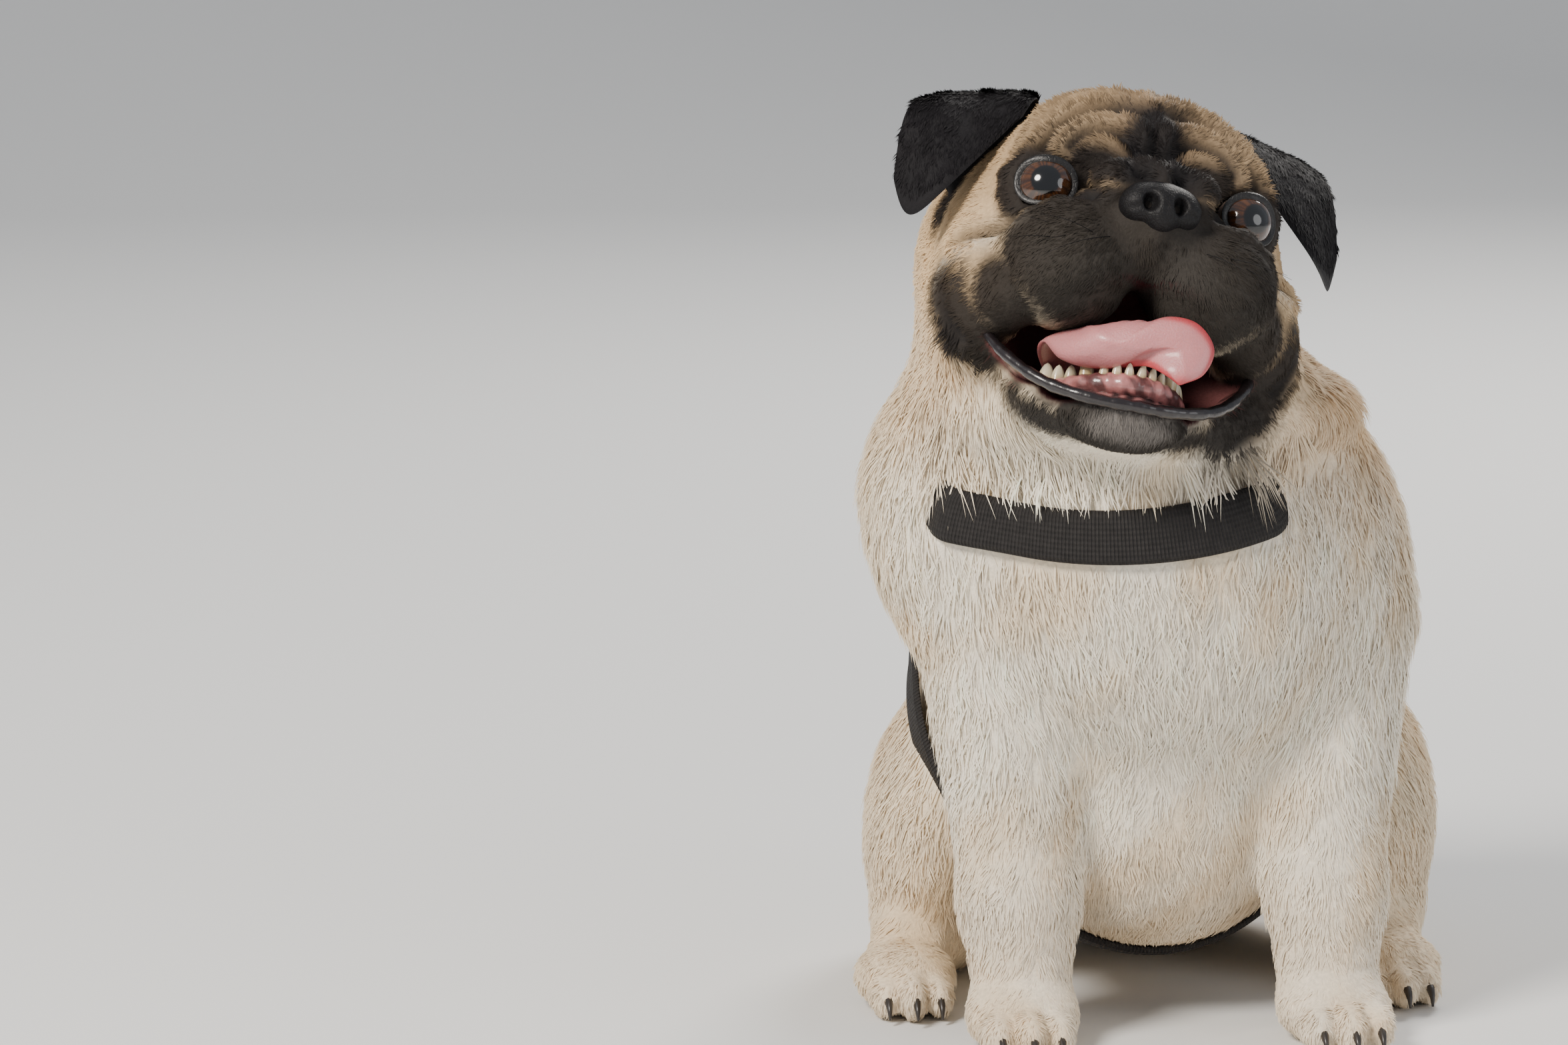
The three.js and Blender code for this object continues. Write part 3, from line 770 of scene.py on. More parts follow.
def group(
    name: str, inputs: dict[str, float], outputs: Sequence[str]
) -> tuple[bpy.types.NodeTree, Nodes]:
    """An empty shader group with named numbers in and out.

    Args:
        name: The group's name.
        inputs: A default for each number it takes.
        outputs: What it puts out.

    Returns:
        The group's tree, and what adds nodes to it.
    """
    tree = bpy.data.node_groups.new(name, "ShaderNodeTree")
    for label, value in inputs.items():
        socket = tree.interface.new_socket(label, in_out="INPUT", socket_type="NodeSocketFloat")
        socket.default_value = value
    for label in outputs:
        tree.interface.new_socket(label, in_out="OUTPUT", socket_type="NodeSocketFloat")
    return tree, Nodes(tree)


def mottle_group() -> bpy.types.NodeTree:
    """Hair grain: Shade wanders about 1 at two scales, and Height is a fine noise relief.

    Returns:
        The group's tree.
    """
    tree, n = group("hair mottle", {"Scale": 900.0, "Amount": 0.3}, ("Shade", "Height"))
    given = n.add("NodeGroupInput")
    place = n.add("ShaderNodeTexCoord").outputs["Object"]
    fine = n.add("ShaderNodeTexNoise", {"Vector": place, "Scale": given.outputs["Scale"], "Detail": 4.0})
    broad = n.add("ShaderNodeTexNoise", {"Vector": place, "Scale": 60.0, "Detail": 3.0})
    fine_share = n.math("MULTIPLY", fine.outputs["Fac"], 0.65)
    broad_share = n.math("MULTIPLY", broad.outputs["Fac"], 0.35)
    both = n.math("ADD", fine_share, broad_share)
    swing = n.math("MULTIPLY", n.math("SUBTRACT", both, 0.5), given.outputs["Amount"])
    out = n.add("NodeGroupOutput")
    tree.links.new(n.math("ADD", n.math("MULTIPLY", swing, 2.0), 1.0), out.inputs["Shade"])
    tree.links.new(fine.outputs["Fac"], out.inputs["Height"])
    return tree


def pebble_group() -> bpy.types.NodeTree:
    """Pebbled wet skin: Height is raised in cells and cut by their joints, Joint is 1 in the joints.

    Returns:
        The group's tree.
    """
    tree, n = group("pebbles", {"Scale": 700.0}, ("Height", "Joint"))
    given = n.add("NodeGroupInput")
    place = n.add("ShaderNodeTexCoord").outputs["Object"]
    pattern = {"Vector": place, "Scale": given.outputs["Scale"]}
    cells = n.add("ShaderNodeTexVoronoi", pattern, feature="DISTANCE_TO_EDGE")
    wander = n.add("ShaderNodeTexNoise", {"Vector": place, "Scale": 260.0, "Detail": 3.0}).outputs["Fac"]
    edge = n.add("ShaderNodeMapRange", {"Value": cells.outputs["Distance"], "From Max": 0.16})
    out = n.add("NodeGroupOutput")
    height = n.math("ADD", edge.outputs["Result"], n.math("MULTIPLY", wander, 0.6))
    tree.links.new(height, out.inputs["Height"])
    tree.links.new(n.math("SUBTRACT", 1.0, edge.outputs["Result"]), out.inputs["Joint"])
    return tree


def weave_group() -> bpy.types.NodeTree:
    """Webbing on a map whose U runs along it and V across: ribs across and threads along, with dust, and
    painted shade in the grooves between the ribs.

    Returns:
        The group's tree.
    """
    tree, n = group("webbing weave", {"Ribs": 84.0, "Threads": 62.0}, ("Height", "Shade"))
    given = n.add("NodeGroupInput")
    parts = n.add("ShaderNodeSeparateXYZ", {"Vector": n.add("ShaderNodeTexCoord").outputs["UV"]})
    rib = n.math("SINE", n.math("MULTIPLY", parts.outputs["X"], given.outputs["Ribs"]))
    thread = n.math("SINE", n.math("MULTIPLY", parts.outputs["Y"], given.outputs["Threads"]))
    height = n.math("ADD", n.math("MULTIPLY", rib, 0.6), n.math("MULTIPLY", thread, 0.25))
    place = n.add("ShaderNodeTexCoord").outputs["Object"]
    dust = n.add("ShaderNodeTexNoise", {"Vector": place, "Scale": 300.0, "Detail": 4.0}).outputs["Fac"]
    out = n.add("NodeGroupOutput")
    tree.links.new(n.math("ADD", height, n.math("MULTIPLY", dust, 0.4)), out.inputs["Height"])
    # Shade: dust, and the weave's height painted in as shade, lighter on the ribs and darker in the
    # grooves.
    shade = n.math("ADD", n.math("MULTIPLY", height, 0.22), n.math("MULTIPLY", dust, 0.8))
    tree.links.new(n.math("ADD", shade, 0.45), out.inputs["Shade"])
    return tree


def finish_groups() -> dict[str, bpy.types.NodeTree]:
    """The effect groups that the finishes share, by name."""
    return {tree.name: tree for tree in (mottle_group(), pebble_group(), weave_group())}


@dataclass(frozen=True)
class Finish:
    """A finish: a plain colour or the mesh's Tone, and what one effect group does to it."""

    name: str
    colour: tuple[float, float, float] | None
    roughness: float
    effect: str | None = None
    settings: tuple[tuple[str, float], ...] = ()
    relief: float = 0.0
    relief_height: float = 0.0004
    coat: float = 0.0
    coat_roughness: float = 0.03
    metallic: float = 0.0
    specular: float = 0.5
    under_skin: float = 0.0
    under_colour: tuple[float, float, float] = (1.0, 0.3, 0.2)
    under_depth: ClassVar[float] = 0.003
    joint_colour: ClassVar[tuple[float, ...]] = (0.004, 0.003, 0.003, 1.0)

    def make(self, groups: dict[str, bpy.types.NodeTree]) -> bpy.types.Material:
        """Builds the material round a Principled shader.

        Args:
            groups: The effect groups by name.

        Returns:
            The material.
        """
        material = bpy.data.materials.new(self.name)
        material.use_nodes = True
        n = Nodes(material.node_tree)
        shader = material.node_tree.nodes["Principled BSDF"]
        for socket, value in (
            ("Roughness", self.roughness),
            ("Metallic", self.metallic),
            ("Specular IOR Level", self.specular),
            ("Coat Weight", self.coat),
            ("Coat Roughness", self.coat_roughness),
            ("Subsurface Weight", self.under_skin),
            ("Subsurface Scale", self.under_depth),
        ):
            shader.inputs[socket].default_value = value
        shader.inputs["Subsurface Radius"].default_value = self.under_colour
        if self.colour is None:
            base = n.add("ShaderNodeVertexColor", layer_name="Tone").outputs["Color"]
        else:
            base = (*self.colour, 1.0)
            shader.inputs["Base Color"].default_value = base
        if self.effect:
            effect = n.add("ShaderNodeGroup", node_tree=groups[self.effect])
            for label, value in self.settings:
                effect.inputs[label].default_value = value
            if "Shade" in effect.outputs:
                shade = n.add("ShaderNodeCombineColor", {i: effect.outputs["Shade"] for i in range(3)})
                base = n.mixed(1.0, base, shade.outputs[0], "MULTIPLY")
            if "Joint" in effect.outputs:
                base = n.mixed(effect.outputs["Joint"], base, self.joint_colour)
            relief = {"Strength": self.relief, "Distance": self.relief_height}
            bump = n.add("ShaderNodeBump", {"Height": effect.outputs["Height"], **relief})
            material.node_tree.links.new(bump.outputs[0], shader.inputs["Normal"])
        if isinstance(base, bpy.types.NodeSocket):
            material.node_tree.links.new(base, shader.inputs["Base Color"])
        return material


FINISH_LIST = (
    Finish(
        "skin", None, 0.75, "hair mottle", (("Scale", 700.0), ("Amount", 0.5)), 0.6, 0.0006, specular=0.25
    ),
    Finish("coat", None, 0.66, "hair mottle", (("Scale", 1500.0), ("Amount", 0.25)), 0.15, specular=0.16),
    Finish(
        "nose leather", (0.007, 0.0065, 0.0075), 0.58, "pebbles", (("Scale", 620.0),), 0.35, 0.0003,
        coat=0.05, coat_roughness=0.4, specular=0.28,
    ),
    Finish(
        "eyeball", None, 0.12, "hair mottle", (("Scale", 500.0), ("Amount", 0.3)), 0.0,
        coat=1.0, coat_roughness=0.01,
    ),
    Finish(
        "wet rim", (0.006, 0.005, 0.005), 0.5, "pebbles", (("Scale", 500.0),), 0.3,
        coat=0.12, coat_roughness=0.2,
    ),
    Finish("whisker", (0.012, 0.011, 0.011), 0.75, "hair mottle", (("Scale", 400.0),), 0.1, specular=0.1),
    Finish(
        "wet mouth", None, 0.34, "hair mottle", (("Scale", 260.0), ("Amount", 0.9)), 0.5, 0.0008,
        coat=0.6, coat_roughness=0.08, under_skin=0.1,
    ),
    Finish(
        "tongue", None, 0.42, "hair mottle", (("Scale", 1300.0), ("Amount", 0.2)), 0.5, 0.0005,
        coat=0.35, coat_roughness=0.18, under_skin=0.3,
    ),
    Finish(
        "tooth", None, 0.25, "hair mottle", (("Scale", 300.0), ("Amount", 0.25)), 0.1,
        coat=0.4, under_skin=0.1, under_colour=(1.0, 0.8, 0.5),
    ),
    Finish(
        "claw", (0.03, 0.024, 0.02), 0.4, "hair mottle", (("Scale", 400.0), ("Amount", 0.5)), 0.3, coat=0.2
    ),
    Finish("webbing", (0.028, 0.025, 0.024), 0.72, "webbing weave", (), 0.9, 0.0006, specular=0.3),
    Finish(
        "ring steel", (0.72, 0.72, 0.69), 0.24, "hair mottle", (("Scale", 500.0), ("Amount", 0.2)), 0.08,
        metallic=1.0,
    ),
    Finish("studio", (0.80, 0.80, 0.79), 0.85, specular=0.2),
)
FINISHES = {finish.name: finish for finish in FINISH_LIST}


# Markings and painted light

CREAM = np.array([0.86, 0.73, 0.54])
WHITE = np.array([0.94, 0.87, 0.74])
FAWN = np.array([0.66, 0.43, 0.21])
TAN = np.array([0.24, 0.155, 0.09])
BLACK = np.array([0.0075, 0.0065, 0.0075])
GREY = np.array([0.30, 0.27, 0.245])
PINK = np.array([0.52, 0.20, 0.19])
# The red flesh deep in the mouth, darkened nearly to black with painted shade.
SHADED_GULLET = np.array([0.045, 0.010, 0.011])
EAR_BLACK = BLACK * 1.1
MIRROR = np.array([-1.0, 1.0, 1.0])


@dataclass(frozen=True)
class Wrinkle:
    """A fold of the skin along a path in the head's frame; its dark is how much painted shade darkens the
    crease, partly the fold's own dark colour.
    """

    path: tuple[tuple[float, float, float], ...]
    width: float
    depth: float
    dark: float

    def both(self) -> tuple[Array, Array]:
        """The path as given and on the other side."""
        line = curve(self.path, 22)
        return line, line * MIRROR


CLEFT = ((0, -75, -16), (0, -72, -26), (0, -67, -38))
WRINKLES = (
    Wrinkle(((0, -60, 6), (0, -50, 15), (0, -42, 26), (0, -34, 38)), 3.4, 3.8, 1.0),
    Wrinkle(
        ((0, -40, 28), (5, -39, 36), (15, -37, 40), (27, -37, 37), (37, -39, 26), (44, -42, 16)),
        3.6, 3.6, 1.0,
    ),
    Wrinkle(((4, -50, 11), (8, -46, 20), (16, -46, 27), (27, -46, 26), (34, -46, 18)), 3.0, 3.0, 1.0),
    Wrinkle(
        ((2, -34, 36), (9, -28, 48), (22, -25, 51), (36, -27, 42), (47, -31, 26), (54, -34, 12)),
        3.8, 3.0, 0.85,
    ),
    Wrinkle(((3, -20, 52), (12, -14, 59), (26, -14, 56), (40, -18, 46)), 4.0, 1.8, 0.5),
    Wrinkle(
        ((6, -66, 5), (15, -61, 3), (26, -56, -6), (39, -51, -15), (52, -42, -19), (65, -24, -23)),
        3.2, 4.6, 1.0,
    ),
    Wrinkle(((56, -30, -26), (66, -24, -36), (68, -20, -50), (64, -22, -62)), 3.2, 3.4, 0.85),
    Wrinkle(
        ((66, -14, -24), (73, -10, -38), (73, -10, -54), (66, -16, -72), (52, -26, -92)),
        3.6, 3.0, 0.75,
    ),
    Wrinkle(((72, 6, -26), (80, 10, -46), (76, 6, -70), (60, -8, -96)), 4.5, 2.4, 0.2),
    Wrinkle(((30, -50, -4), (42, -54, -13), (54, -46, -8)), 2.2, 1.6, 0.7),
    Wrinkle(CLEFT, 2.2, 3.4, 1.0),
)
MASK = (
    Ball((0, -54, -30), (60, 34, 34)),
    Ball((48, -37, -44), (18, 22, 19), pair=True),
    Ball((0, -56, -98), (42, 22, 17)),
    Ball((44, -41, -1), (20, 16, 17), pair=True),
    Limb((64, -20, -42), (48, -30, -90), (15, 13), pair=True),
    Limb((48, -30, -92), (0, -50, -106), (13, 11), pair=True),
    Limb((34, 4, 47), (64, 24, 2), (9, 9), pair=True),
    Ball((0, -46, 20), (12, 14, 22)),
    Ball((0, -60, 7), (31, 18, 13)),
    Ball((22, -46, 10), (14, 12, 10), pair=True),
    Ball((60, -10, -46), (12, 15, 20), pair=True),
)
PALE_CHIN = Ball((0, -64, -96), (25, 14, 9))
# A painted highlight: a pale line along the ridge of the cheek fold beside the muzzle.
CHEEK_FOLD_HIGHLIGHT = ((46, -50, -20), (60, -36, -25), (70, -21, -32), (74, -13, -44), (74, -12, -56))


class Markings:
    """The colours of skin and coat as functions of place, painted shade and highlights among them, and the
    folds that shape them.
    """

    def __init__(self, animal: Animal) -> None:
        """Keeps the forms, whose mouth is lined with wet skin."""
        self.animal = animal

    def folds(self, head: Array) -> tuple[Array, Array]:
        """How far each fold sinks the skin, with a ridge beside it, and how much painted shade darkens its
        crease, partly the fold's own dark colour.

        A fold at distance d sinks by depth exp(-(d/w)^2) and is flanked by half as high a ridge at 1.9 w.

        Args:
            head: Places in the head's frame.

        Returns:
            A depth and a painted crease shade for each place.
        """
        sink = np.zeros(len(head))
        dark = np.zeros(len(head))
        close = (head[:, 1] < 24) & (head[:, 2] > -112)
        spots = head[close]
        for wrinkle in WRINKLES:
            distance = np.minimum(*(near(spots, line) for line in wrinkle.both()))
            fall = np.exp(-((distance / wrinkle.width) ** 2))
            ridge = np.exp(-(((distance - 1.9 * wrinkle.width) / (0.9 * wrinkle.width)) ** 2))
            sink[close] += wrinkle.depth * (fall - 0.5 * ridge)
            # Painted shade, darkest along the crease.
            shade = wrinkle.dark * np.exp(-((distance / (1.45 * wrinkle.width)) ** 2))
            dark[close] = np.maximum(dark[close], shade)
        return sink, dark

    def tone(self, points: Array) -> Array:
        """The colour at points of the dog's frame.

        Args:
            points: Places in the dog's frame, in mm.

        Returns:
            A colour for each place.
        """
        head = HEAD.inside(points)
        hx, hy, hz = head.T
        x, y, z = points.T
        side = np.abs(hx)
        in_head = smooth(70, 30, hy) * smooth(-135, -100, hz)
        back = smooth(-10, 60, y + 0.35 * (z - 150)) * (1 - smooth(-150, -30, -z))
        # The front of the chest is whiter: partly its own paler coat, partly painted light where light
        # falls on its front.
        colour = mix(CREAM, WHITE, smooth(-20, -70, y) * smooth(300, 230, z) * 0.8)
        wander = np.sin(x / 13 + 2 * np.sin(z / 31)) + np.sin(z / 17 + y / 23)
        wander = wander + np.sin(x / 7 - z / 11 + y / 9)
        colour = mix(colour, CREAM * [0.94, 0.86, 0.74], smooth(-0.4, 2.2, wander) * 0.55)
        # The back is fawn; low on the body the coat is also darkened towards fawn as painted shade.
        colour = mix(colour, FAWN, 0.55 * back + 0.22 * smooth(120, 30, z) * (1 - back))
        warm = in_head * smooth(34, 70, side) * smooth(-120, -40, hz)
        colour = mix(colour, FAWN, 0.75 * warm)
        brow = in_head * smooth(-30, 5, hz) * smooth(75, 55, side)
        colour = mix(colour, 0.55 * TAN + 0.45 * FAWN, 0.85 * brow)
        forehead = smooth(38, 0, side) * smooth(-4, 12, hz) * smooth(66, 30, hz) * smooth(10, -20, hy)
        colour = mix(colour, 0.6 * TAN, 0.8 * forehead)
        # Creases darkened towards black: painted shade, partly the wrinkles' own dark colour.
        fold_shade = self.folds(head)[1]
        colour = mix(colour, BLACK, 0.97 * fold_shade)
        mask = np.zeros(len(points))
        for form in MASK:
            distance = form.distance(side if form.pair else hx, hy, hz)
            mask = np.maximum(mask, smooth(5.0, -4.0, distance))
        colour = mix(colour, BLACK, 0.97 * mask * smooth(38, 28, hy))
        # A pale grey-cream line along the cheek fold: painted highlight.
        along_cheek = near(np.column_stack([side, hy, hz]), curve(CHEEK_FOLD_HIGHLIGHT, 12))
        fold_highlight = np.exp(-((along_cheek / 3.4) ** 2))
        colour = mix(colour, GREY + 0.5 * (CREAM - GREY), 0.75 * fold_highlight)
        colour = mix(colour, 0.62 * GREY, 0.9 * smooth(3, -6, PALE_CHIN.distance(hx, hy, hz)))
        # Inside the mouth: nearly black with painted shade deep in, pink towards the low sides.
        inner = mix(SHADED_GULLET, PINK, 0.7 * smooth(34, 52, side) * smooth(-56, -70, hz))
        return mix(colour, inner, self.animal.wetness(hx, hy, hz))


# Parts of the dog


class Skin:
    """The one skin of the whole body, with its folds and its wet mouth."""

    LIMBS = ("foreleg", "fore_paw", "thigh", "hind_paw")
    REPLACES = ("head", "lower_jaw", "neck", "torso", "tail")
    REPLACES += tuple(f"{part}_{side}" for part, side in product(LIMBS, ("left", "right")))
    FINE, COARSE = 1.7, 4.6

    def __init__(self, animal: Animal, markings: Markings) -> None:
        """Works out the surface: the field's zero, sunk by the folds where the face has them.

        Args:
            animal: The dog's forms.
            markings: The folds and the colours.
        """
        fine, coarse = self.FINE, self.COARSE
        axes = (
            lattice(((-112, coarse), (68, fine), (160, coarse)), -152),
            lattice(((12, fine), (204, coarse)), -176),
            lattice(((222, coarse), (398, fine)), -2),
        )
        points, quads = surface_nets(sampled(animal.skin, axes), axes)
        points = settled(animal.skin, points)
        normals = unit(slope(animal.skin, points, 0.5)[1])
        head = HEAD.inside(points)
        sink = markings.folds(head)[0]
        wet = animal.wetness(*head.T)
        lids = np.minimum(*(np.linalg.norm(head - animal.eye(side), axis=1) for side in SIDES))
        sink *= (1 - wet) * smooth(12.5, 17, lids)
        self.points = points - normals * sink[:, None]
        self.quads = quads
        self.tones = markings.tone(points)
        self.normals = self.mesh_normals()

    def mesh_normals(self) -> Array:
        """Each point's normal, the sum of its faces' normals.

        Returns:
            A unit vector for each point.
        """
        a, b, c, d = (self.points[self.quads[:, i]] for i in range(4))
        face = np.cross(c - a, d - b)
        total = np.zeros_like(self.points)
        for i in range(4):
            np.add.at(total, self.quads[:, i], face)
        return unit(total)

    def build(self, shop: Workshop, finish: bpy.types.Material) -> None:
        """Makes the piece."""
        own = {"tone": self.tones, "replaces": self.REPLACES}
        shop.piece("skin", self.points, self.quads, finish, Slot.CREAM, **own)


@dataclass
class Eyes:
    """Eyeballs with pupil, iris and white, and the dark wet rims of the lids."""

    animal: Animal
    pupil: float = 29.0
    iris: float = 64.0
    bulge: float = 0.7
    opening: tuple[float, float] = (65.0, 47.0)
    rim: float = 1.15
    pupil_black: tuple[float, float, float] = (0.002, 0.002, 0.002)
    dark_brown: tuple[float, float, float] = (0.022, 0.008, 0.004)
    light_brown: tuple[float, float, float] = (0.085, 0.030, 0.009)
    iris_edge: tuple[float, float, float] = (0.006, 0.004, 0.003)
    eye_white: tuple[float, float, float] = (0.13, 0.095, 0.08)

    def ball(self, side: int) -> tuple[Array, Array, Array]:
        """A sphere about the gaze, of radius R + bulge exp(-(angle / iris)^4), coloured by angle.

        Args:
            side: -1 for the right and 1 for the left.

        Returns:
            Points, quads and a colour for each point.
        """
        gaze = self.animal.gaze(side)
        across = unit(np.cross([0.0, 0.0, 1.0], gaze))
        up = np.cross(gaze, across)
        rows, columns = 46, 72
        angle = np.concatenate([np.linspace(0, 62, 34), np.linspace(68, 180, rows - 34)])
        turn = np.linspace(0, 2 * math.pi, columns, endpoint=False)
        radius = self.animal.EYE_RADIUS - 0.35 + self.bulge * np.exp(-((angle / self.iris) ** 4))
        a = np.radians(angle)[:, None]
        ring = np.cos(turn)[None, :, None] * across + np.sin(turn)[None, :, None] * up
        way = np.cos(a)[..., None] * gaze + np.sin(a)[..., None] * ring
        points = self.animal.eye(side) + way * radius[:, None, None]
        deg = np.broadcast_to(angle[:, None], (rows, columns)).ravel()
        streak = 0.5 + 0.5 * np.sin(turn * 23 + 2.0 * np.sin(turn * 7))[None, :] * np.ones((rows, 1))
        brown = mix(np.array(self.dark_brown), self.light_brown, streak.ravel())
        colour = mix(np.array(self.pupil_black), brown, smooth(self.pupil - 2, self.pupil + 3, deg))
        colour = mix(colour, self.iris_edge, smooth(self.iris - 12, self.iris, deg))
        colour = mix(colour, self.eye_white, smooth(self.iris + 1, self.iris + 9, deg))
        return HEAD.out(points.reshape(-1, 3)), grid_faces(rows, columns), colour

    def lid(self, side: int) -> tuple[Array, Array]:
        """A rim along the lids' opening, which is an oval in angles about the gaze.

        Args:
            side: -1 for the right and 1 for the left.

        Returns:
            Points and quads.
        """
        gaze = self.animal.gaze(side)
        across = unit(np.cross([0.0, 0.0, 1.0], gaze))
        up = np.cross(gaze, across)
        count, sides = 88, 12
        t = np.linspace(0, 2 * math.pi, count, endpoint=False)
        open_by = np.radians(np.hypot(self.opening[0] * np.cos(t), self.opening[1] * np.sin(t)))[:, None]
        spread = np.cos(t)[:, None] * across + np.sin(t)[:, None] * up
        away = np.cos(open_by) * gaze + np.sin(open_by) * spread
        path = self.animal.eye(side) + away * (self.animal.EYE_RADIUS + 0.45)
        b = np.linspace(0, 2 * math.pi, sides, endpoint=False)[None, :, None]
        radius = (self.rim * (1 + 0.35 * np.maximum(np.sin(t), 0)))[:, None, None]
        section = np.cos(b) * away[:, None] * 0.85 + np.sin(b) * unit(spread - away * 0.3)[:, None] * 1.25
        rows = path[:, None] + radius * section
        rows = np.concatenate([rows, rows[:1]])
        return HEAD.out(rows.reshape(-1, 3)), grid_faces(count + 1, sides)

    def build(self, shop: Workshop, ball: bpy.types.Material, rim: bpy.types.Material) -> None:
        """Makes both eyes and their rims.

        Args:
            shop: What makes the pieces.
            ball: The eyeballs' material.
            rim: The rims' material.
        """
        for side, name in zip(SIDES, ("right", "left")):
            points, faces, colour = self.ball(side)
            node = f"eye_{name}"
            shop.piece(f"{node}_ball", points, faces, ball, Slot.EYE, colour, replaces=(node,))
            shop.piece(f"eyelid_rim_{name}", *self.lid(side), rim, Slot.NOSE)


@dataclass
class Nose:
    """The nose leather: a pad and two wings, with comma nostrils and a groove down the middle."""

    step: float = 0.55
    pad: tuple[Ball, ...] = (
        Ball((0, -65.5, -4), (13.0, 9.0, 7.0), 4),
        Ball((0, -69.5, -10), (7.5, 8.0, 8.8), 4),
        Ball((9.6, -66.0, -8), (7.2, 8.5, 7.6), 4, True),
    )
    nostril: Ball = Ball((6.3, -76.5, -7.8), (3.0, 7.0, 3.9), 1.8)
    slit: Limb = Limb((7.0, -77, -10.0), (18.0, -71, -12.5), (1.9, 1.1), 1.4)
    groove: Limb = Limb((0, -79.2, -3), (0, -77.8, -22), (0.9, 1.6), 1.6)

    def field(self, x: Array, y: Array, z: Array) -> Array:
        """Distance to the leather in the head's frame.

        Args:
            x, y, z: Coordinates, in mm.

        Returns:
            Distances, below zero inside.
        """
        total = fused(self.pad, x, y, z)
        for form, across in ((self.nostril, np.abs(x)), (self.slit, np.abs(x)), (self.groove, x)):
            total = carve(total, form.distance(across, y, z), form.soft)
        return total

    def build(self, shop: Workshop, finish: bpy.types.Material) -> None:
        """Makes the piece.

        Args:
            shop: What makes the pieces.
            finish: The pieces' material.
        """
        axes = (
            lattice(((21, self.step),), -21),
            lattice(((-55, self.step),), -81),
            lattice(((5, self.step),), -21),
        )
        points, quads = surface_nets(sampled(self.field, axes), axes)
        points = settled(self.field, points)
        shop.piece("nose_leather", HEAD.out(points), quads, finish, Slot.NOSE, replaces=("nose",))


@dataclass
class Ears:
    """Button ears: each rises from its root to a fold and hangs forwards to its rounded tip."""

    thick: float = 4.2
    rows: int = 56
    columns: int = 44
    root: tuple[tuple[float, ...], ...] = ((36, 8, 44), (60, 26, -4))
    fold: tuple[tuple[float, ...], ...] = ((40, -3, 48), (88, 11, 40))
    edge: tuple[tuple[float, ...], ...] = ((48, -13, 34), (94, -6, -28))
    fold_bulge: tuple[float, ...] = (1, 3, 3)
    edge_bulge: tuple[float, ...] = (8, -9, -9)

    def surface(self, u: Array, v: Array) -> Array:
        """root (1-v)^2 + lift 2v(1-v) + edge v^2, each running from the inner side to the outer with u.

        Args:
            u: From 0 at the inner side to 1 at the outer.
            v: From 0 at the root to 1 at the free edge.

        Returns:
            A point for each pair.
        """
        bulge = np.sin(math.pi * u)[..., None]
        lines = (self.root, self.fold, self.edge)
        root, fold, edge = (mix(np.array(inner), outer, u) for inner, outer in lines)
        fold = fold + bulge * np.array(self.fold_bulge)
        edge = edge + bulge * np.array(self.edge_bulge)
        lift = 2 * fold - 0.5 * root - 0.5 * edge
        w = (v * (1 - 0.15 * u**6 - 0.06 * (1 - u) ** 4))[..., None]
        made = root * (1 - w) ** 2 + lift * 2 * w * (1 - w) + edge * w * w
        ripple = 2.0 * np.sin(7 * u + 4 * v) * np.sin(math.pi * u) * v
        return made + np.stack([0 * ripple, -ripple, 0.4 * ripple], -1)

    def sheet(self, side: int) -> tuple[Array, Array, Array, Array, Array]:
        """The closed leather: an outer and an inner sheet that meet in a rounded rim.

        Args:
            side: -1 for the right and 1 for the left.

        Returns:
            Points, quads, and the outer sheet's points, normals and lie of the hair for its tufts.
        """
        u = np.linspace(0, 1, self.rows)
        v = np.linspace(0, 1, self.columns)
        uu, vv = np.meshgrid(u, v, indexing="ij")
        d = 0.004
        middle = self.surface(uu, vv)
        along = self.surface(np.clip(uu + d, 0, 1), vv) - self.surface(np.clip(uu - d, 0, 1), vv)
        down = self.surface(uu, np.clip(vv + d, 0, 1)) - self.surface(uu, np.clip(vv - d, 0, 1))
        normal = unit(np.cross(down, along))
        rounded = np.sqrt(np.clip(1 - np.abs(2 * uu - 1) ** 10, 0, 1)) * np.sqrt(np.clip(1 - vv**10, 0, 1))
        half = (0.5 * self.thick * (1 - 0.3 * vv) * rounded)[..., None]
        outer, inner = middle + normal * half, middle - normal * half
        ring = np.concatenate([outer, inner[:, ::-1]], 1)
        flip = np.array([side, 1, 1])
        points = HEAD.out(ring.reshape(-1, 3) * flip)
        faces = grid_faces(self.rows, 2 * self.columns)
        facing = normal * flip @ HEAD.turn.T
        lie = unit(down) * flip @ HEAD.turn.T
        return points, outward(points, faces), HEAD.out(outer * flip), facing, lie

    def build(self, shop: Workshop, finish: bpy.types.Material) -> None:
        """Makes both ears.

        Args:
            shop: What makes the pieces.
            finish: The pieces' material.
        """
        for side, name in zip(SIDES, ("right", "left")):
            points, faces, *_ = self.sheet(side)
            tone = np.broadcast_to(EAR_BLACK, points.shape)
            node = f"ear_{name}"
            shop.piece(f"{node}_leather", points, faces, finish, Slot.BLACK, tone, replaces=(node,))


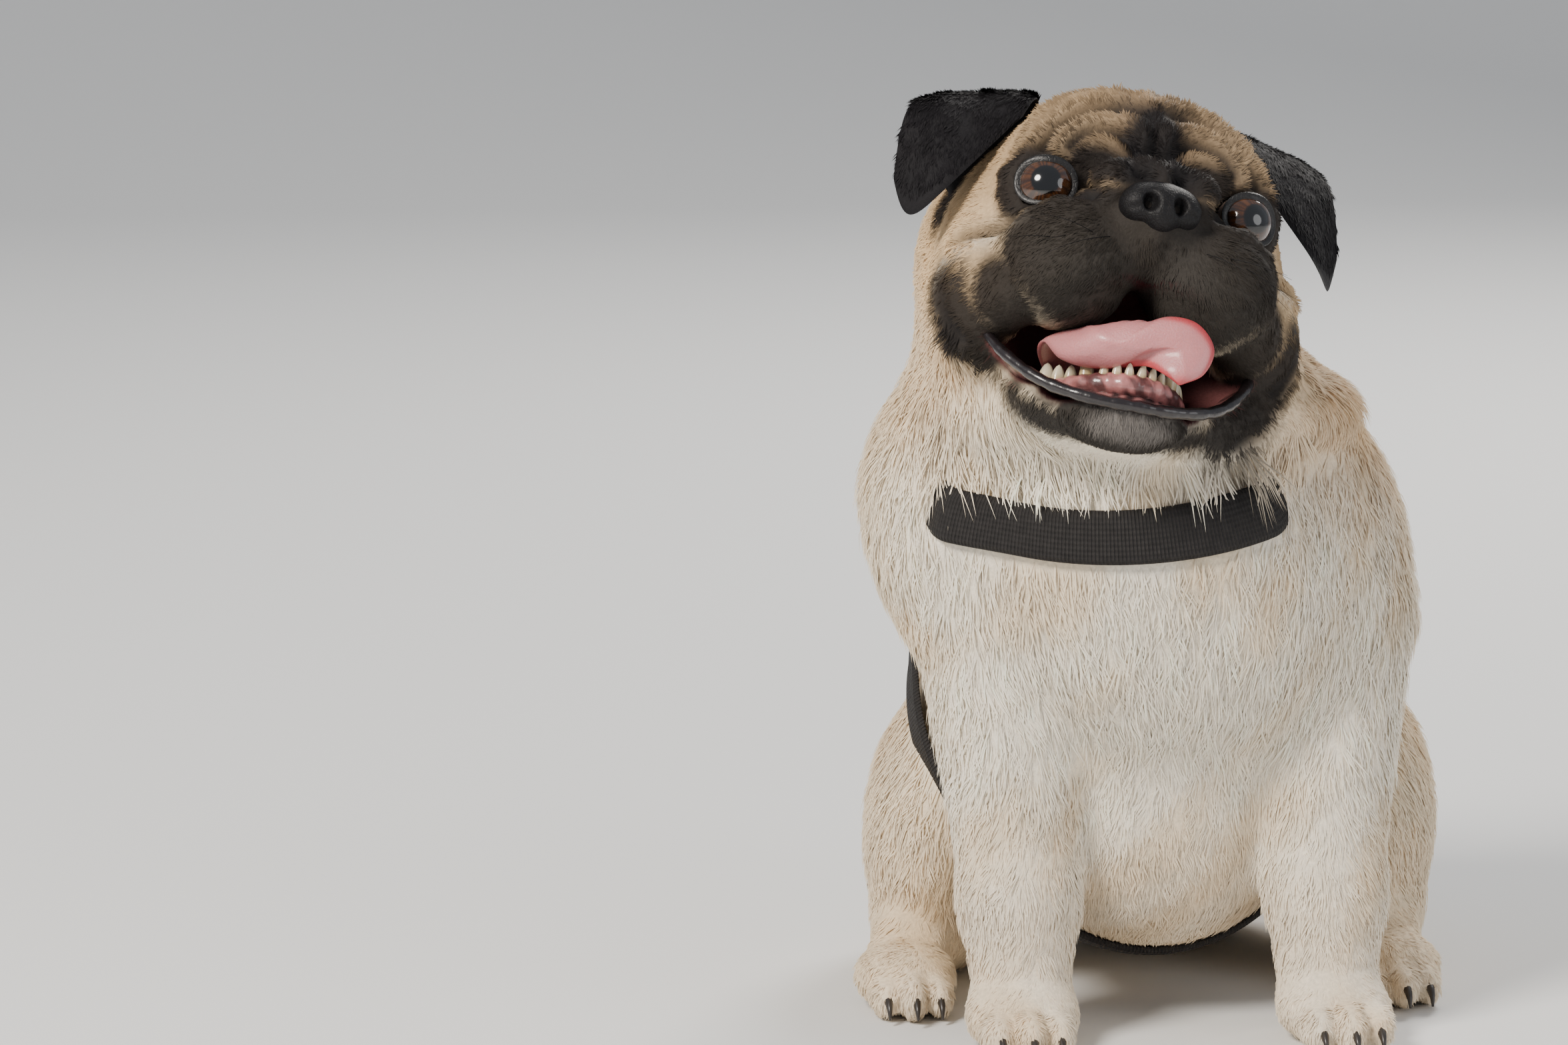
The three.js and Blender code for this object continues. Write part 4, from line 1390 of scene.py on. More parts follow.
@dataclass
class Mouth:
    """Gums, teeth, lips and tongue."""

    arch: tuple[float, float, float] = (28.0, -57.0, -79.0)
    spread: float = 78.0
    gum: float = 4.4
    arch_depth: float = 52.0
    tooth_grid: tuple[int, int] = (11, 12)
    teeth_row: tuple[tuple[float, float, float], ...] = (
        (0.065, 2.3, 5.4), (0.19, 2.3, 5.4), (0.315, 2.3, 5.4), (0.48, 3.2, 11.0),
        (0.64, 2.9, 5.6), (0.78, 3.4, 6.6), (0.93, 4.4, 8.8),
    )
    canine_height: float = 9.0
    tooth_root: tuple[float, float, float] = (0.50, 0.36, 0.16)
    tooth_tip: tuple[float, float, float] = (0.80, 0.72, 0.52)
    lip_half: tuple[tuple[float, ...], ...] = (
        (58, -22, -54), (50, -37, -69), (36, -52, -82), (18, -61.5, -88), (0, -64, -89)
    )
    lip_black: tuple[float, float, float] = (0.012, 0.008, 0.009)
    lining_dark: tuple[float, float, float] = (0.03, 0.015, 0.016)
    lining_pink: tuple[float, float, float] = (0.42, 0.17, 0.16)
    gum_pink: tuple[float, float, float] = (0.50, 0.20, 0.19)
    gum_dark: tuple[float, float, float] = (0.05, 0.02, 0.02)
    tongue_right: tuple[tuple[float, ...], ...] = (
        (-20, -4, -72), (-33, -26, -64), (-34, -38, -62), (-29, -46, -70), (-19, -50, -73),
        (-7, -53, -72), (2, -61, -71), (8, -69, -75), (14, -71, -79),
    )
    tongue_left: tuple[tuple[float, ...], ...] = (
        (20, -4, -72), (14, -28, -66), (0, -46, -62), (-2, -60, -57), (7, -67, -51.5),
        (19, -71, -53), (27, -71, -62), (24, -71, -73), (15, -71, -79),
    )
    tongue_rose: tuple[float, float, float] = (0.60, 0.235, 0.24)
    tongue_red: tuple[float, float, float] = (0.52, 0.05, 0.06)

    def arch_point(self, s: Array) -> Array:
        """The row of teeth: (w sin a, front + depth (1 - cos a)) for a from -spread to spread.

        Args:
            s: From -1 at the right molar to 1 at the left one.

        Returns:
            A point for each.
        """
        a = np.radians(np.asarray(s, float) * self.spread)
        width, front, height = self.arch
        back = front + self.arch_depth * (1 - np.cos(a))
        return np.stack([width * np.sin(a), back, np.full_like(a, height)], -1)

    def tooth(self, base: Array, radius: float, height: float, lean: Array) -> tuple[Array, Array]:
        """A blunt cone: radius r (1 - t^1.7)^0.6 at height t, leaning by lean t^2.

        Args:
            base: The middle of its root.
            radius: Its radius at the root.
            height: Its height.
            lean: How far its tip is moved aside.

        Returns:
            Points and quads.
        """
        rows, columns = self.tooth_grid
        t = np.linspace(0, 1, rows)
        a = np.linspace(0, 2 * math.pi, columns, endpoint=False)
        r = radius * (1 - t**1.7) ** 0.6
        ring = np.stack([np.cos(a), 0.8 * np.sin(a), 0 * a], -1)
        middle = base + t[:, None] * np.array([0, 0, height]) + (t**2)[:, None] * lean
        points = middle[:, None] + r[:, None, None] * ring
        return points.reshape(-1, 3), grid_faces(rows, columns)

    def teeth(self) -> tuple[Array, Array, Array]:
        """All the lower teeth as one mesh: incisors, canines, premolars and molars.

        Returns:
            Points, quads and a colour for each point.
        """
        meshes = []
        for s, radius, height in self.teeth_row:
            for side in SIDES:
                base = self.arch_point(np.array(s * side)) + np.array([0, 0, self.gum - 2.2])
                lean = np.array([side * (1.6 if height > self.canine_height else 0.4), -1.2, 0.0])
                length = height + 1.6 + 0.5 * math.sin(9 * s + side)
                meshes.append(self.tooth(base, radius, length, lean))
        rows, columns = self.tooth_grid
        up = np.tile(np.linspace(0, 1, rows).repeat(columns), len(meshes))
        tone = mix(np.array(self.tooth_root), self.tooth_tip, smooth(0.05, 0.7, up))
        return *joined(meshes), tone

    def lip_line(self, count: int) -> Array:
        """The lower lip's wet edge from the right corner of the mouth to the left."""
        right = [(-x, y, z) for x, y, z in self.lip_half]
        return curve([*right, *self.lip_half[-2::-1]], count)

    def lips(self) -> list[tuple[str, Array, Array, Array]]:
        """The black edge of the lower lip and the lining between it and the gum.

        Returns:
            A name, points, quads and a colour for each point, for each piece.
        """
        count, across = 120, 12
        low = self.lip_line(count)
        t = np.linspace(-1, 1, count)
        bead = 1 + 0.07 * np.sin(t * 41 + np.sin(t * 13)) + 0.04 * np.sin(t * 97 + 1)
        low_tube = tube(low, (3.0 - 1.0 * np.abs(t) ** 3) * bead, 14, 0.85)
        rim = self.arch_point(t) + np.array([0, 0, -2.0])
        s = np.linspace(0, 1, across)
        lining = rim[:, None] + (low - rim)[:, None] * s[:, None]
        lining[..., 2] += -3.2 * np.sin(math.pi * s)
        lining = lining.reshape(-1, 3)
        dark = np.broadcast_to(self.lip_black, low_tube[0].shape)
        spots = 0.5 + 0.5 * np.sin(lining[:, 0] * 0.9 + 2 * np.sin(lining[:, 1] * 0.7))
        pink = mix(np.array(self.lining_dark), self.lining_pink, 0.85 * spots**2)
        return [
            ("lower_lip", *low_tube, dark),
            ("lip_lining", lining, grid_faces(count, across, False)[:, ::-1], pink),
        ]

    def tongue(self) -> tuple[Array, Array, Array]:
        """One leaf between a right and a left edge: it lies in the jaw and curls up at the dog's left.

        Returns:
            Points, quads and a colour per point, redder towards the edge.
        """
        rows, columns = 64, 26
        low, high = curve(self.tongue_right, rows), curve(self.tongue_left, rows)
        v = np.linspace(0, 1, columns)
        middle = low[:, None] * (1 - v)[None, :, None] + high[:, None] * v[None, :, None]
        facing = unit(np.cross(np.gradient(middle, axis=0), np.gradient(middle, axis=1)))
        facing *= np.where(facing[rows // 2, columns // 2, 2] < 0, -1.0, 1.0)
        s = np.linspace(0, 1, rows)[:, None]
        span = np.linalg.norm(high - low, axis=1)[:, None]
        inward = 1 - (2 * v[None] - 1) ** 2
        furrow = 1.2 * np.exp(-(((v[None] - 0.5) / 0.08) ** 2))
        dish = -0.13 * span * inward + furrow * (s - 1)
        middle = middle + facing * (dish + 0.5 * np.sin(9 * s) * inward)[..., None]
        half = (0.3 + 2.4 * np.sqrt(inward) * np.sqrt(np.clip(1 - s**8, 0, 1)))[..., None]
        ring = np.concatenate([middle + facing * half, (middle - facing * half)[:, ::-1]], 1)
        caps = [np.broadcast_to(row.mean(0), row.shape)[None] for row in (ring[0], ring[-1])]
        points = np.concatenate([caps[0], ring, caps[1]])
        faces = outward(points.reshape(-1, 3), grid_faces(rows + 2, 2 * columns))
        edge = smooth(0.36, 0.10, inward) * smooth(0.42, 0.58, s)
        edge = np.maximum(edge, smooth(0.90, 1.0, s) * np.ones_like(edge))
        edge = np.concatenate([edge, edge[:, ::-1]], 1)
        edge = np.concatenate([edge[:1], edge, edge[-1:]]).ravel()
        tone = mix(np.array(self.tongue_rose), self.tongue_red, 0.95 * edge)
        return points.reshape(-1, 3), faces, tone

    def build(self, shop: Workshop, looks: dict[str, bpy.types.Material]) -> None:
        """Makes the mouth's pieces.

        Args:
            shop: What makes the pieces.
            looks: The materials by name.
        """
        points, faces, tone = self.teeth()
        shop.piece("lower_teeth", HEAD.out(points), faces, looks["tooth"], Slot.EYE, tone)
        t = np.linspace(-1.04, 1.04, 90)
        ridge = self.gum * (1 + 0.07 * np.cos(t * 52))
        gum, faces = tube(self.arch_point(t), ridge, 14)
        wander = np.sin(gum[:, 0] * 0.35 + 1.0) + 0.6 * np.sin(gum[:, 0] * 0.9 + gum[:, 2])
        tone = mix(np.array(self.gum_pink), self.gum_dark, 0.8 * smooth(-0.3, 0.6, wander))
        shop.piece("lower_gum", HEAD.out(gum), faces, looks["wet mouth"], Slot.TONGUE, tone)
        for name, points, faces, tone in self.lips():
            shop.piece(name, HEAD.out(points), faces, looks["wet mouth"], Slot.TONGUE, tone)
        points, faces, tone = self.tongue()
        own = {"tone": tone, "replaces": ("tongue",)}
        shop.piece("tongue_flesh", HEAD.out(points), faces, looks["tongue"], Slot.TONGUE, **own)


@dataclass
class Trimmings:
    """Claws and whiskers."""

    animal: Animal
    claw_steps: int = 9
    claw_radii: tuple[float, float] = (2.3, 0.5)
    whiskers_a_side: int = 9
    whisker_steps: int = 8
    whisker_radii: tuple[float, float] = (0.22, 0.06)
    whisker_length: tuple[float, float] = (22, 42)
    seed: int = 5

    def claws(self) -> tuple[Array, Array]:
        """A short curved claw at the front of each toe.

        Returns:
            Points and quads of all claws.
        """
        toes = self.animal.FORELEG_FORMS[3:] + self.animal.HIND_PAW_FORMS[1:]
        arc = np.array([(0, 6, 1), (0, 2, 0), (0, -1.2, -2.5), (0, -2.2, -6.0)])
        radii = np.linspace(*self.claw_radii, self.claw_steps)
        meshes = []
        for toe in toes:
            for side in SIDES:
                x, y, z = toe.at
                path = np.array([side * x, y - toe.size[1], z]) + arc
                meshes.append(tube(curve(path, self.claw_steps), radii, 9, 1.2, np.array([0.0, -0.6, 1.0])))
        return joined(meshes)

    def whiskers(self) -> tuple[Array, Array]:
        """Thin bristles from the flews and the chin, each an arc that droops.

        Returns:
            Points and quads of all whiskers.
        """
        rng = np.random.default_rng(self.seed)
        t = np.linspace(0, 1, self.whisker_steps)[:, None]
        radii = np.linspace(*self.whisker_radii, self.whisker_steps)
        meshes = []
        for side in SIDES:
            for index in range(self.whiskers_a_side):
                across, down = 20 + 4.5 * (index % 4), -24 - 3.4 * (index // 3)
                root = np.array([side * across, -70 + 1.6 * index, down])
                aside = side * (0.9 + 0.2 * rng.random())
                way = unit(np.array([aside, -0.5 + 0.1 * index, rng.normal(0.0, 0.25)]))
                length = rng.uniform(*self.whisker_length)
                path = root + way * t * length + np.array([0, 0.25, -0.3]) * t**2 * length * 0.6
                meshes.append(tube(path, radii, 4))
        points, faces = joined(meshes)
        return HEAD.out(points), faces

    def build(self, shop: Workshop, claw: bpy.types.Material, whisker: bpy.types.Material) -> None:
        """Makes the pieces."""
        shop.piece("claws", *self.claws(), claw, Slot.NOSE)
        shop.piece("whiskers", *self.whiskers(), whisker, Slot.NOSE)


@dataclass
class Harness:
    """Three webbing straps round the trunk and neck, each mapped along its length, and a steel ring."""

    animal: Animal
    width: float = 20.0
    thick: float = 2.4
    sunk: float = -0.8
    collar_at: tuple[float, float, float] = (-20.0, -20.0, 250.0)
    collar_way: tuple[float, float, float] = (-0.1, -0.34, 0.93)
    girth_at: tuple[float, float, float] = (-4.0, 36.0, 150.0)
    girth_way: tuple[float, float, float] = (0.0, -0.9, 0.44)
    back_at: tuple[float, float, float] = (-14.0, -20.0, 150.0)
    ring: tuple[float, float] = (9.5, 1.7)
    cover: tuple[tuple[float, float], ...] = ((-27.0, 32.0), (180.0, 38.0))
    across_steps: int = 9
    round_steps: int = 221
    reach_most: float = 150.0
    march: float = 0.5
    settle: float = 1.4
    hide: float = 9.6
    back_arc: tuple[float, float] = (22.0, 64.0)
    back_steps: int = 160

    def covered(self, points: Array) -> Array:
        """How many degrees each point lies inside a stretch of the neck band that the coat covers.

        Args:
            points: Places in the dog's frame, in mm.

        Returns:
            Degrees, below zero outside those stretches.
        """
        away = points - np.array(self.collar_at)
        angle = np.degrees(np.arctan2(away[:, 1], away[:, 0]))
        depths = [half - np.abs((angle - middle + 180) % 360 - 180) for middle, half in self.cover]
        return np.maximum(*depths)

    def off_collar(self, points: Array) -> Array:
        """How far each point lies up the neck from the neck band's plane."""
        return (points - np.array(self.collar_at)) @ unit(np.array(self.collar_way))

    def off_girth(self, points: Array) -> Array:
        """How far each point lies ahead of the girth's plane."""
        return (points - np.array(self.girth_at)) @ unit(np.array(self.girth_way))

    def middle(self, inner: Array) -> Array:
        """The middle line of a strap's rows."""
        return inner[:, self.across_steps // 2]

    def shown(self, points: Array) -> Array:
        """1 where the coat leaves the neck band free, and 0 where it covers it."""
        return 1 - smooth(0, 14, self.covered(points))

    def ends(self, points: Array) -> Array:
        """0 along the free stretches of the neck band and 1 at their ends, where the coat hangs over it."""
        return smooth(-26, 4, self.covered(points))

    def reach(self, start: Array, way: Array) -> Array:
        """How far along each way the trunk's surface lies, by marching the field outwards.

        Args:
            start: Where each ray starts, inside the trunk.
            way: The direction of each ray.

        Returns:
            A length for each ray.
        """
        far = np.full(len(start), 10.0)
        done = np.zeros(len(start), bool)
        for _ in range(int(self.reach_most / self.march)):
            points = start + way * far[:, None]
            outside = self.animal.trunk(*points.T) > 0
            done |= outside
            if done.all():
                break
            far = np.where(done, far, far + self.march)
        for _ in range(3):
            value, rise = slope(self.animal.trunk, start + way * far[:, None], 0.5)
            far = far - value / np.maximum(0.3, (rise * way).sum(1))
        return far

    def laid(self, centre: Array, step: Array, way: Array) -> tuple[Array, Array]:
        """Rows of points on the trunk, each row found from a start moved across the strap.

        Args:
            centre: The middle of the starts.
            step: The strap's way across.
            way: The direction of each ray.

        Returns:
            Rows of points, and each column's place across from -1 to 1.
        """
        v = np.linspace(-1, 1, self.across_steps)
        rows = []
        for value in v:
            start = centre + step * value * self.width / 2
            far = self.reach(np.broadcast_to(start, way.shape), way)
            rows.append(start + way * far[:, None])
        return np.stack(rows, 1), v

    def band(
        self, centre: Array, normal: Array, angles: Array, is_hidden: bool
    ) -> tuple[Array, Array, Array]:
        """A strap of constant width along a plane's cut through the trunk.

        Args:
            centre: A point of the plane that the angles turn about.
            normal: The plane's direction, the strap's own across.
            angles: The angles to place it at, in radians.
            is_hidden: Whether it sinks into the coat at the sides of the neck.

        Returns:
            The inner face's points, their ways outwards, and the columns' places across.
        """
        normal = unit(np.asarray(normal, float))
        across = unit(np.array([1.0, 0.0, 0.0]) - normal[0] * normal)
        along = np.cross(normal, across)
        way = np.cos(angles)[:, None] * across + np.sin(angles)[:, None] * along
        inner, v = self.laid(np.asarray(centre, float), normal, way)
        if is_hidden:
            hidden = 1 - self.shown(self.middle(inner))
            inner = inner - way[:, None] * (self.settle + self.hide * hidden)[:, None, None]
        return inner, np.broadcast_to(way[:, None], inner.shape), v

    def back(self) -> tuple[Array, Array, Array]:
        """The strap down the back, from under the neck band to a short tab past the girth.

        Returns:
            The inner face's points, their ways outwards, and the columns' places across.
        """
        angles = np.radians(np.linspace(*self.back_arc, self.back_steps))
        way = np.stack([0 * angles, np.cos(angles), np.sin(angles)], -1)
        inner, v = self.laid(np.asarray(self.back_at), np.array([1.0, 0.0, 0.0]), way)
        under_band = self.off_collar(self.middle(inner))
        past_girth = self.off_girth(self.middle(inner))
        rise = 2.2 * smooth(17, 11, np.abs(past_girth)) - 1.3 * smooth(-18, -11, under_band)
        inner = inner + way[:, None] * rise[:, None, None]
        kept = (under_band < 4) & (past_girth > -26)
        return inner[kept], np.broadcast_to(way[kept][:, None], inner[kept].shape), v

    def strap(self, inner: Array, way: Array, v: Array) -> tuple[Array, Array, Array]:
        """Closes a strap: outer face with rolled edges, then the inner face.

        Args:
            inner: Rows of points of the inner face.
            way: Each one's way outwards.
            v: The columns' places across from -1 to 1.

        Returns:
            Points, quads and a UV per point, U along in strap widths and V across.
        """
        edge = np.sqrt(np.clip(1 - np.abs(v) ** 8, 0, 1))
        roll = (self.sunk + self.thick * (0.35 + 0.65 * edge))[None, :, None]
        outer = inner + way * roll
        under = inner + way * self.sunk
        ring = np.concatenate([outer, under[:, ::-1]], 1)
        steps = np.linalg.norm(np.diff(self.middle(inner), axis=0), axis=1)
        u = np.concatenate([[0.0], np.cumsum(steps)]) / self.width
        vv = np.concatenate([0.5 + 0.5 * v, 0.5 + 0.5 * v[::-1]])
        uv = np.stack(np.broadcast_arrays(u[:, None], vv[None]), -1)
        faces = grid_faces(len(ring), ring.shape[1])
        return ring.reshape(-1, 3), faces, uv.reshape(-1, 2)

    def build(self, shop: Workshop, webbing: bpy.types.Material, steel: bpy.types.Material) -> None:
        """Makes the three straps and the ring.

        Args:
            shop: What makes the pieces.
            webbing: The straps' material.
            steel: The ring's material.
        """
        full = np.linspace(0, 2 * math.pi, self.round_steps)
        for name, made in (
            ("neck_band", self.band(self.collar_at, self.collar_way, full, True)),
            ("girth_strap", self.band(self.girth_at, self.girth_way, full, False)),
            ("back_strap", self.back()),
        ):
            points, faces, uv = self.strap(*made)
            own = {"uv": uv, "replaces": (name,)}
            shop.piece(f"{name}_webbing", points, outward(points, faces), webbing, Slot.WEBBING, **own)
        self.build_ring(shop, steel)

    def build_ring(self, shop: Workshop, steel: bpy.types.Material) -> None:
        """Makes the ring at its node's own place, upright and facing the front.

        Args:
            shop: What makes the pieces.
            steel: The ring's material.
        """
        low, high = shop.node_box("harness_ring")
        centre = (low + high) / 2
        radius, wire = self.ring
        around, sides = 96, 20
        a = np.linspace(0, 2 * math.pi, around, endpoint=False)
        path = centre + radius * np.stack([np.cos(a), 0 * a, np.sin(a)], -1)
        b = np.linspace(0, 2 * math.pi, sides, endpoint=False)[None, :, None]
        out = unit(path - centre)
        section = np.cos(b) * out[:, None] + np.sin(b) * np.array([0.0, 1.0, 0.0])
        points = np.concatenate([path[:, None] + wire * section, path[:1, None] + wire * section[:1]])
        points = points.reshape(-1, 3)
        faces = outward(points, grid_faces(around + 1, sides))
        shop.piece("harness_ring_steel", points, faces, steel, Slot.RING, replaces=("harness_ring",))


# Coat


CELL_PRIMES = np.array([73856093, 19349663, 83492791])
CLUMP_TABLE = 4096


class Region(Enum):
    """The coat's regions: a tuft's length and width in mm, and how steeply it stands."""

    FACE = (4.0, 0.55, 0.16)
    CROWN = (6.0, 0.62, 0.17)
    RUFF = (12.0, 0.68, 0.17)
    BODY = (13.5, 0.70, 0.14)
    LEG = (8.0, 0.70, 0.15)
    PAW = (4.2, 0.65, 0.15)
    EAR = (4.2, 0.50, 0.13)


@dataclass
class Roots:
    """Where tufts grow: points, skin normals, and each tuft's lie, length, width, lift and tone."""

    at: Array
    normal: Array
    lie: Array
    length: Array
    width: Array
    lift: Array
    tone: Array

    def chosen(self, index: Array) -> Roots:
        """The roots of an index, in its order."""
        return Roots(*(getattr(self, field.name)[index] for field in fields(self)))


@dataclass
class Coat:
    """Tufts of flat blades over the skin and the ears."""

    animal: Animal
    markings: Markings
    count: int = 212000
    clump: float = 5.5
    piece_size: int = 30000
    patch: float = 0.003
    seed: int = 11
    ear_count: int = 15000
    longest_hanging: float = 26.0

    def on_head(self, points: Array) -> Array:
        """1 on the head and 0 on the neck and body.

        Args:
            points: Places in the dog's frame, in mm.

        Returns:
            A share for each place.
        """
        head = HEAD.inside(points)
        crown = smooth(248, 278, points[:, 2] + 0.30 * points[:, 1] + 0.10 * points[:, 0])
        return np.maximum(crown, smooth(-116, -106, head[:, 2]) * smooth(-8, -26, head[:, 1]))

    def regions(self, points: Array) -> tuple[Array, Array, Array]:
        """Length, width and lift of the coat at each point, blended from region to region.

        Args:
            points: Places in the dog's frame, in mm.

        Returns:
            Three rows: lengths, widths and lifts.
        """
        head = HEAD.inside(points)
        x, y, z = points.T
        facing = smooth(28, -34, head[:, 1])
        upper = smooth(-122, -106, head[:, 2])
        on_head = self.on_head(points)
        value = mix(np.array(Region.CROWN.value), Region.FACE.value, facing * upper)
        ruff = mix(np.array(Region.BODY.value), Region.RUFF.value, smooth(200, 240, z))
        value = mix(ruff, value, on_head)
        arm = smooth(126, 84, z) * smooth(10, -14, y)
        rear = smooth(118, 60, z) * smooth(60, 95, np.abs(x))
        value = mix(value, Region.LEG.value, np.maximum(arm, 0.55 * rear))
        return mix(value, Region.PAW.value, smooth(44, 26, z) * smooth(60, 20, y)).T

    def lies(self, points: Array, normals: Array) -> Array:
        """Which way the coat lies: away from the nose on the head, and down and back on the body.

        Args:
            points: Places in the dog's frame, in mm.
            normals: The skin's normals there.

        Returns:
            A unit vector along the skin for each place.
        """
        head = HEAD.inside(points)
        away = head - np.array([0.0, -66.0, 6.0])
        away[:, 2] = np.where(head[:, 2] < -25, away[:, 2] * 0.6 - 14, away[:, 2])
        away[:, 1] += 12
        away = unit(away) @ HEAD.turn.T
        x, y, z = points.T
        aside = 0.10 * np.sign(x) * np.abs(x) / 60
        down = np.stack([aside, 0.10 + 0.004 * np.maximum(y, 0), -1.0 + 0 * z], -1)
        chest = smooth(-20, -60, y) * smooth(110, 160, z)
        down[:, 0] += -0.35 * chest * np.clip(x / 60, -1, 1)
        on_head = self.on_head(points)[:, None]
        lie = unit(down) * (1 - on_head) + away * on_head
        lie = lie - normals * (lie * normals).sum(1)[:, None]
        return unit(lie + 1e-6)

    def bare(self, points: Array) -> Array:
        """How far each place lets tufts grow: 0 in the mouth, at eyes and nose, and under straps.

        Args:
            points: Places in the dog's frame, in mm.

        Returns:
            A share for each place.
        """
        head = HEAD.inside(points)
        hx, hy, hz = head.T
        allowed = 1.0 - smooth(0.1, 0.5, self.animal.wetness(hx, hy, hz))
        for side in SIDES:
            allowed *= smooth(14.2, 15.4, np.linalg.norm(head - self.animal.eye(side), axis=1))
        allowed *= smooth(1.0, 3.0, Ball((0, -69, -8), (18, 10, 10), 3).distance(hx, hy, hz))
        allowed *= smooth(1.2, 2.4, near(head, np.array(CLEFT)))
        harness = Harness(self.animal)
        on_trunk = np.abs(self.animal.trunk(*points.T) + 5.0) < 3.6
        for off, shown in (
            (harness.off_collar(points), harness.shown(points)),
            (harness.off_girth(points), 1.0),
        ):
            allowed *= 1 - on_trunk * shown * smooth(11.5, 9.5, np.abs(off))
        return allowed

    def scattered(self, skin: Skin, rng: np.random.Generator) -> Roots:
        """Random roots over the skin, as many per area as cover it at their own size.

        Args:
            skin: The skin.
            rng: The random numbers.

        Returns:
            The roots.
        """
        quads = skin.quads
        corners = skin.points[quads]
        across = np.cross(corners[:, 2] - corners[:, 0], corners[:, 3] - corners[:, 1])
        area = 0.5 * np.linalg.norm(across, axis=1)
        middle = corners.mean(1)
        length, width, _ = self.regions(middle)
        weight = area / (length * width) * self.bare(middle)
        weight *= smooth(0.0, 4.0, middle[:, 2])
        picked = rng.choice(len(quads), self.count, p=weight / weight.sum())
        s, t = rng.random((2, self.count, 1))
        c = corners[picked]
        at = (c[:, 0] * (1 - s) + c[:, 1] * s) * (1 - t) + (c[:, 3] * (1 - s) + c[:, 2] * s) * t
        normals = unit(skin.normals[quads[picked]].mean(1))
        keep = self.bare(at) > rng.random(self.count)
        at, normals = at[keep], normals[keep]
        length, width, lift = self.regions(at)
        harness = Harness(self.animal)
        above = harness.off_collar(at) - harness.width / 2
        reaching = (harness.shown(at) > 0.1) & (above > 0) & (above < 24) & (self.on_head(at) < 0.6)
        over = np.minimum(above + 5 + 12 * harness.ends(at), self.longest_hanging)
        hanging = np.where(above < 6, 0.8 * above + 1, over)
        length = np.where(reaching, hanging, length)
        lift = np.where(reaching & (above > 6), np.minimum(7.5 / length, 0.58), lift)
        return Roots(at, normals, self.lies(at, normals), length, width, lift, self.markings.tone(at))

    def ear_roots(self, ears: Ears, rng: np.random.Generator, count: int) -> Roots:
        """Roots on the outer side of both ears.

        Args:
            ears: The ears.
            rng: The random numbers.
            count: Roots on each ear.

        Returns:
            The roots.
        """
        parts = []
        for side in SIDES:
            *_, outer, facing, lie = ears.sheet(side)
            rows, columns = outer.shape[:2]
            i = rng.integers(1, rows - 2, count)
            j = rng.integers(1, columns - 3, count)
            s, t = rng.random((2, count, 1))
            near_row = outer[i, j] * (1 - s) + outer[i + 1, j] * s
            next_row = outer[i, j + 1] * (1 - s) + outer[i + 1, j + 1] * s
            at = near_row * (1 - t) + next_row * t
            parts.append((at, facing[i, j], lie[i, j]))
        at, normal, lie = (np.concatenate(values) for values in zip(*parts))
        length, width, lift = (np.full(len(at), value) for value in Region.EAR.value)
        tone = EAR_BLACK * rng.uniform(0.8, 1.4, (len(at), 1))
        return Roots(at, normal, lie, length, width, lift, tone)

    def clumped(self, roots: Roots, rng: np.random.Generator) -> Roots:
        """Turns, lifts and lengthens tufts together, clump by clump, and shades each one its own way.

        Args:
            roots: The roots.
            rng: The random numbers.

        Returns:
            The changed roots.
        """
        cell = np.floor(roots.at / self.clump).astype(np.int64) * CELL_PRIMES
        key = cell[:, 0] ^ cell[:, 1] ^ cell[:, 2]
        table = rng.random((CLUMP_TABLE, 3))
        shared = table[np.mod(key, CLUMP_TABLE)]
        own = rng.random((len(key), 4))
        angle = (shared[:, 0] - 0.5) * 0.75 + (own[:, 0] - 0.5) * 0.55
        side = np.cross(roots.normal, roots.lie)
        lie = unit(roots.lie * np.cos(angle)[:, None] + side * np.sin(angle)[:, None])
        lift = roots.lift * (0.4 + 0.6 * shared[:, 1] + 0.9 * own[:, 1] ** 3)
        length = roots.length * (0.75 + 0.3 * shared[:, 2] + 0.3 * own[:, 2])
        shade = (0.90 + 0.14 * shared[:, 1] + 0.12 * (own[:, 3] - 0.35))[:, None]
        tone = np.clip(roots.tone * shade, 0, 0.95)
        return Roots(roots.at, roots.normal, lie, length, roots.width * (0.8 + 0.4 * own[:, 2]), lift, tone)

    def blades(self, roots: Roots) -> tuple[Array, Array, Array, Array]:
        """Seven points a blade, V-shaped in section: three at the root, three at the middle and the tip.

        Args:
            roots: The roots.

        Returns:
            Points, triangles, a tone per point with painted shade at the root and a painted highlight at
            the tip, and a soft shading normal per point.
        """
        side = np.cross(roots.normal, roots.lie)
        length, width = roots.length[:, None], roots.width[:, None]
        lift = roots.lift[:, None]
        base = roots.at - roots.normal * 0.5
        middle = base + roots.lie * length * 0.50 + roots.normal * length * lift * 0.75
        tip = base + roots.lie * length + roots.normal * length * lift * 0.85
        ridge = roots.normal * width * 0.28
        rows = [base - side * width * 0.5, base + ridge, base + side * width * 0.5]
        rows += [middle - side * width * 0.42, middle + ridge, middle + side * width * 0.42, tip]
        points = np.stack(rows, 1)
        faces = np.array([(0, 1, 4), (0, 4, 3), (1, 2, 5), (1, 5, 4), (3, 4, 6), (4, 5, 6)])[:, ::-1]
        index = (np.arange(len(points)) * len(rows))[:, None, None] + faces
        # Painted shade at each blade's root and a painted highlight at its tip.
        shade = np.array([0.94, 0.94, 0.94, 1.0, 1.0, 1.0, 1.03])[None, :, None]
        tone = np.clip(roots.tone[:, None] * shade, 0, 0.97)
        ahead = unit(roots.normal * 0.9 - roots.lie * lift * 0.5)[:, None]
        aside = side[:, None] * np.array([-1, 0, 1, -1, 0, 1, 0])[None, :, None]
        normals = unit(ahead + 0.2 * aside)
        return points.reshape(-1, 3), index.reshape(-1, 3), tone.reshape(-1, 3), normals.reshape(-1, 3)

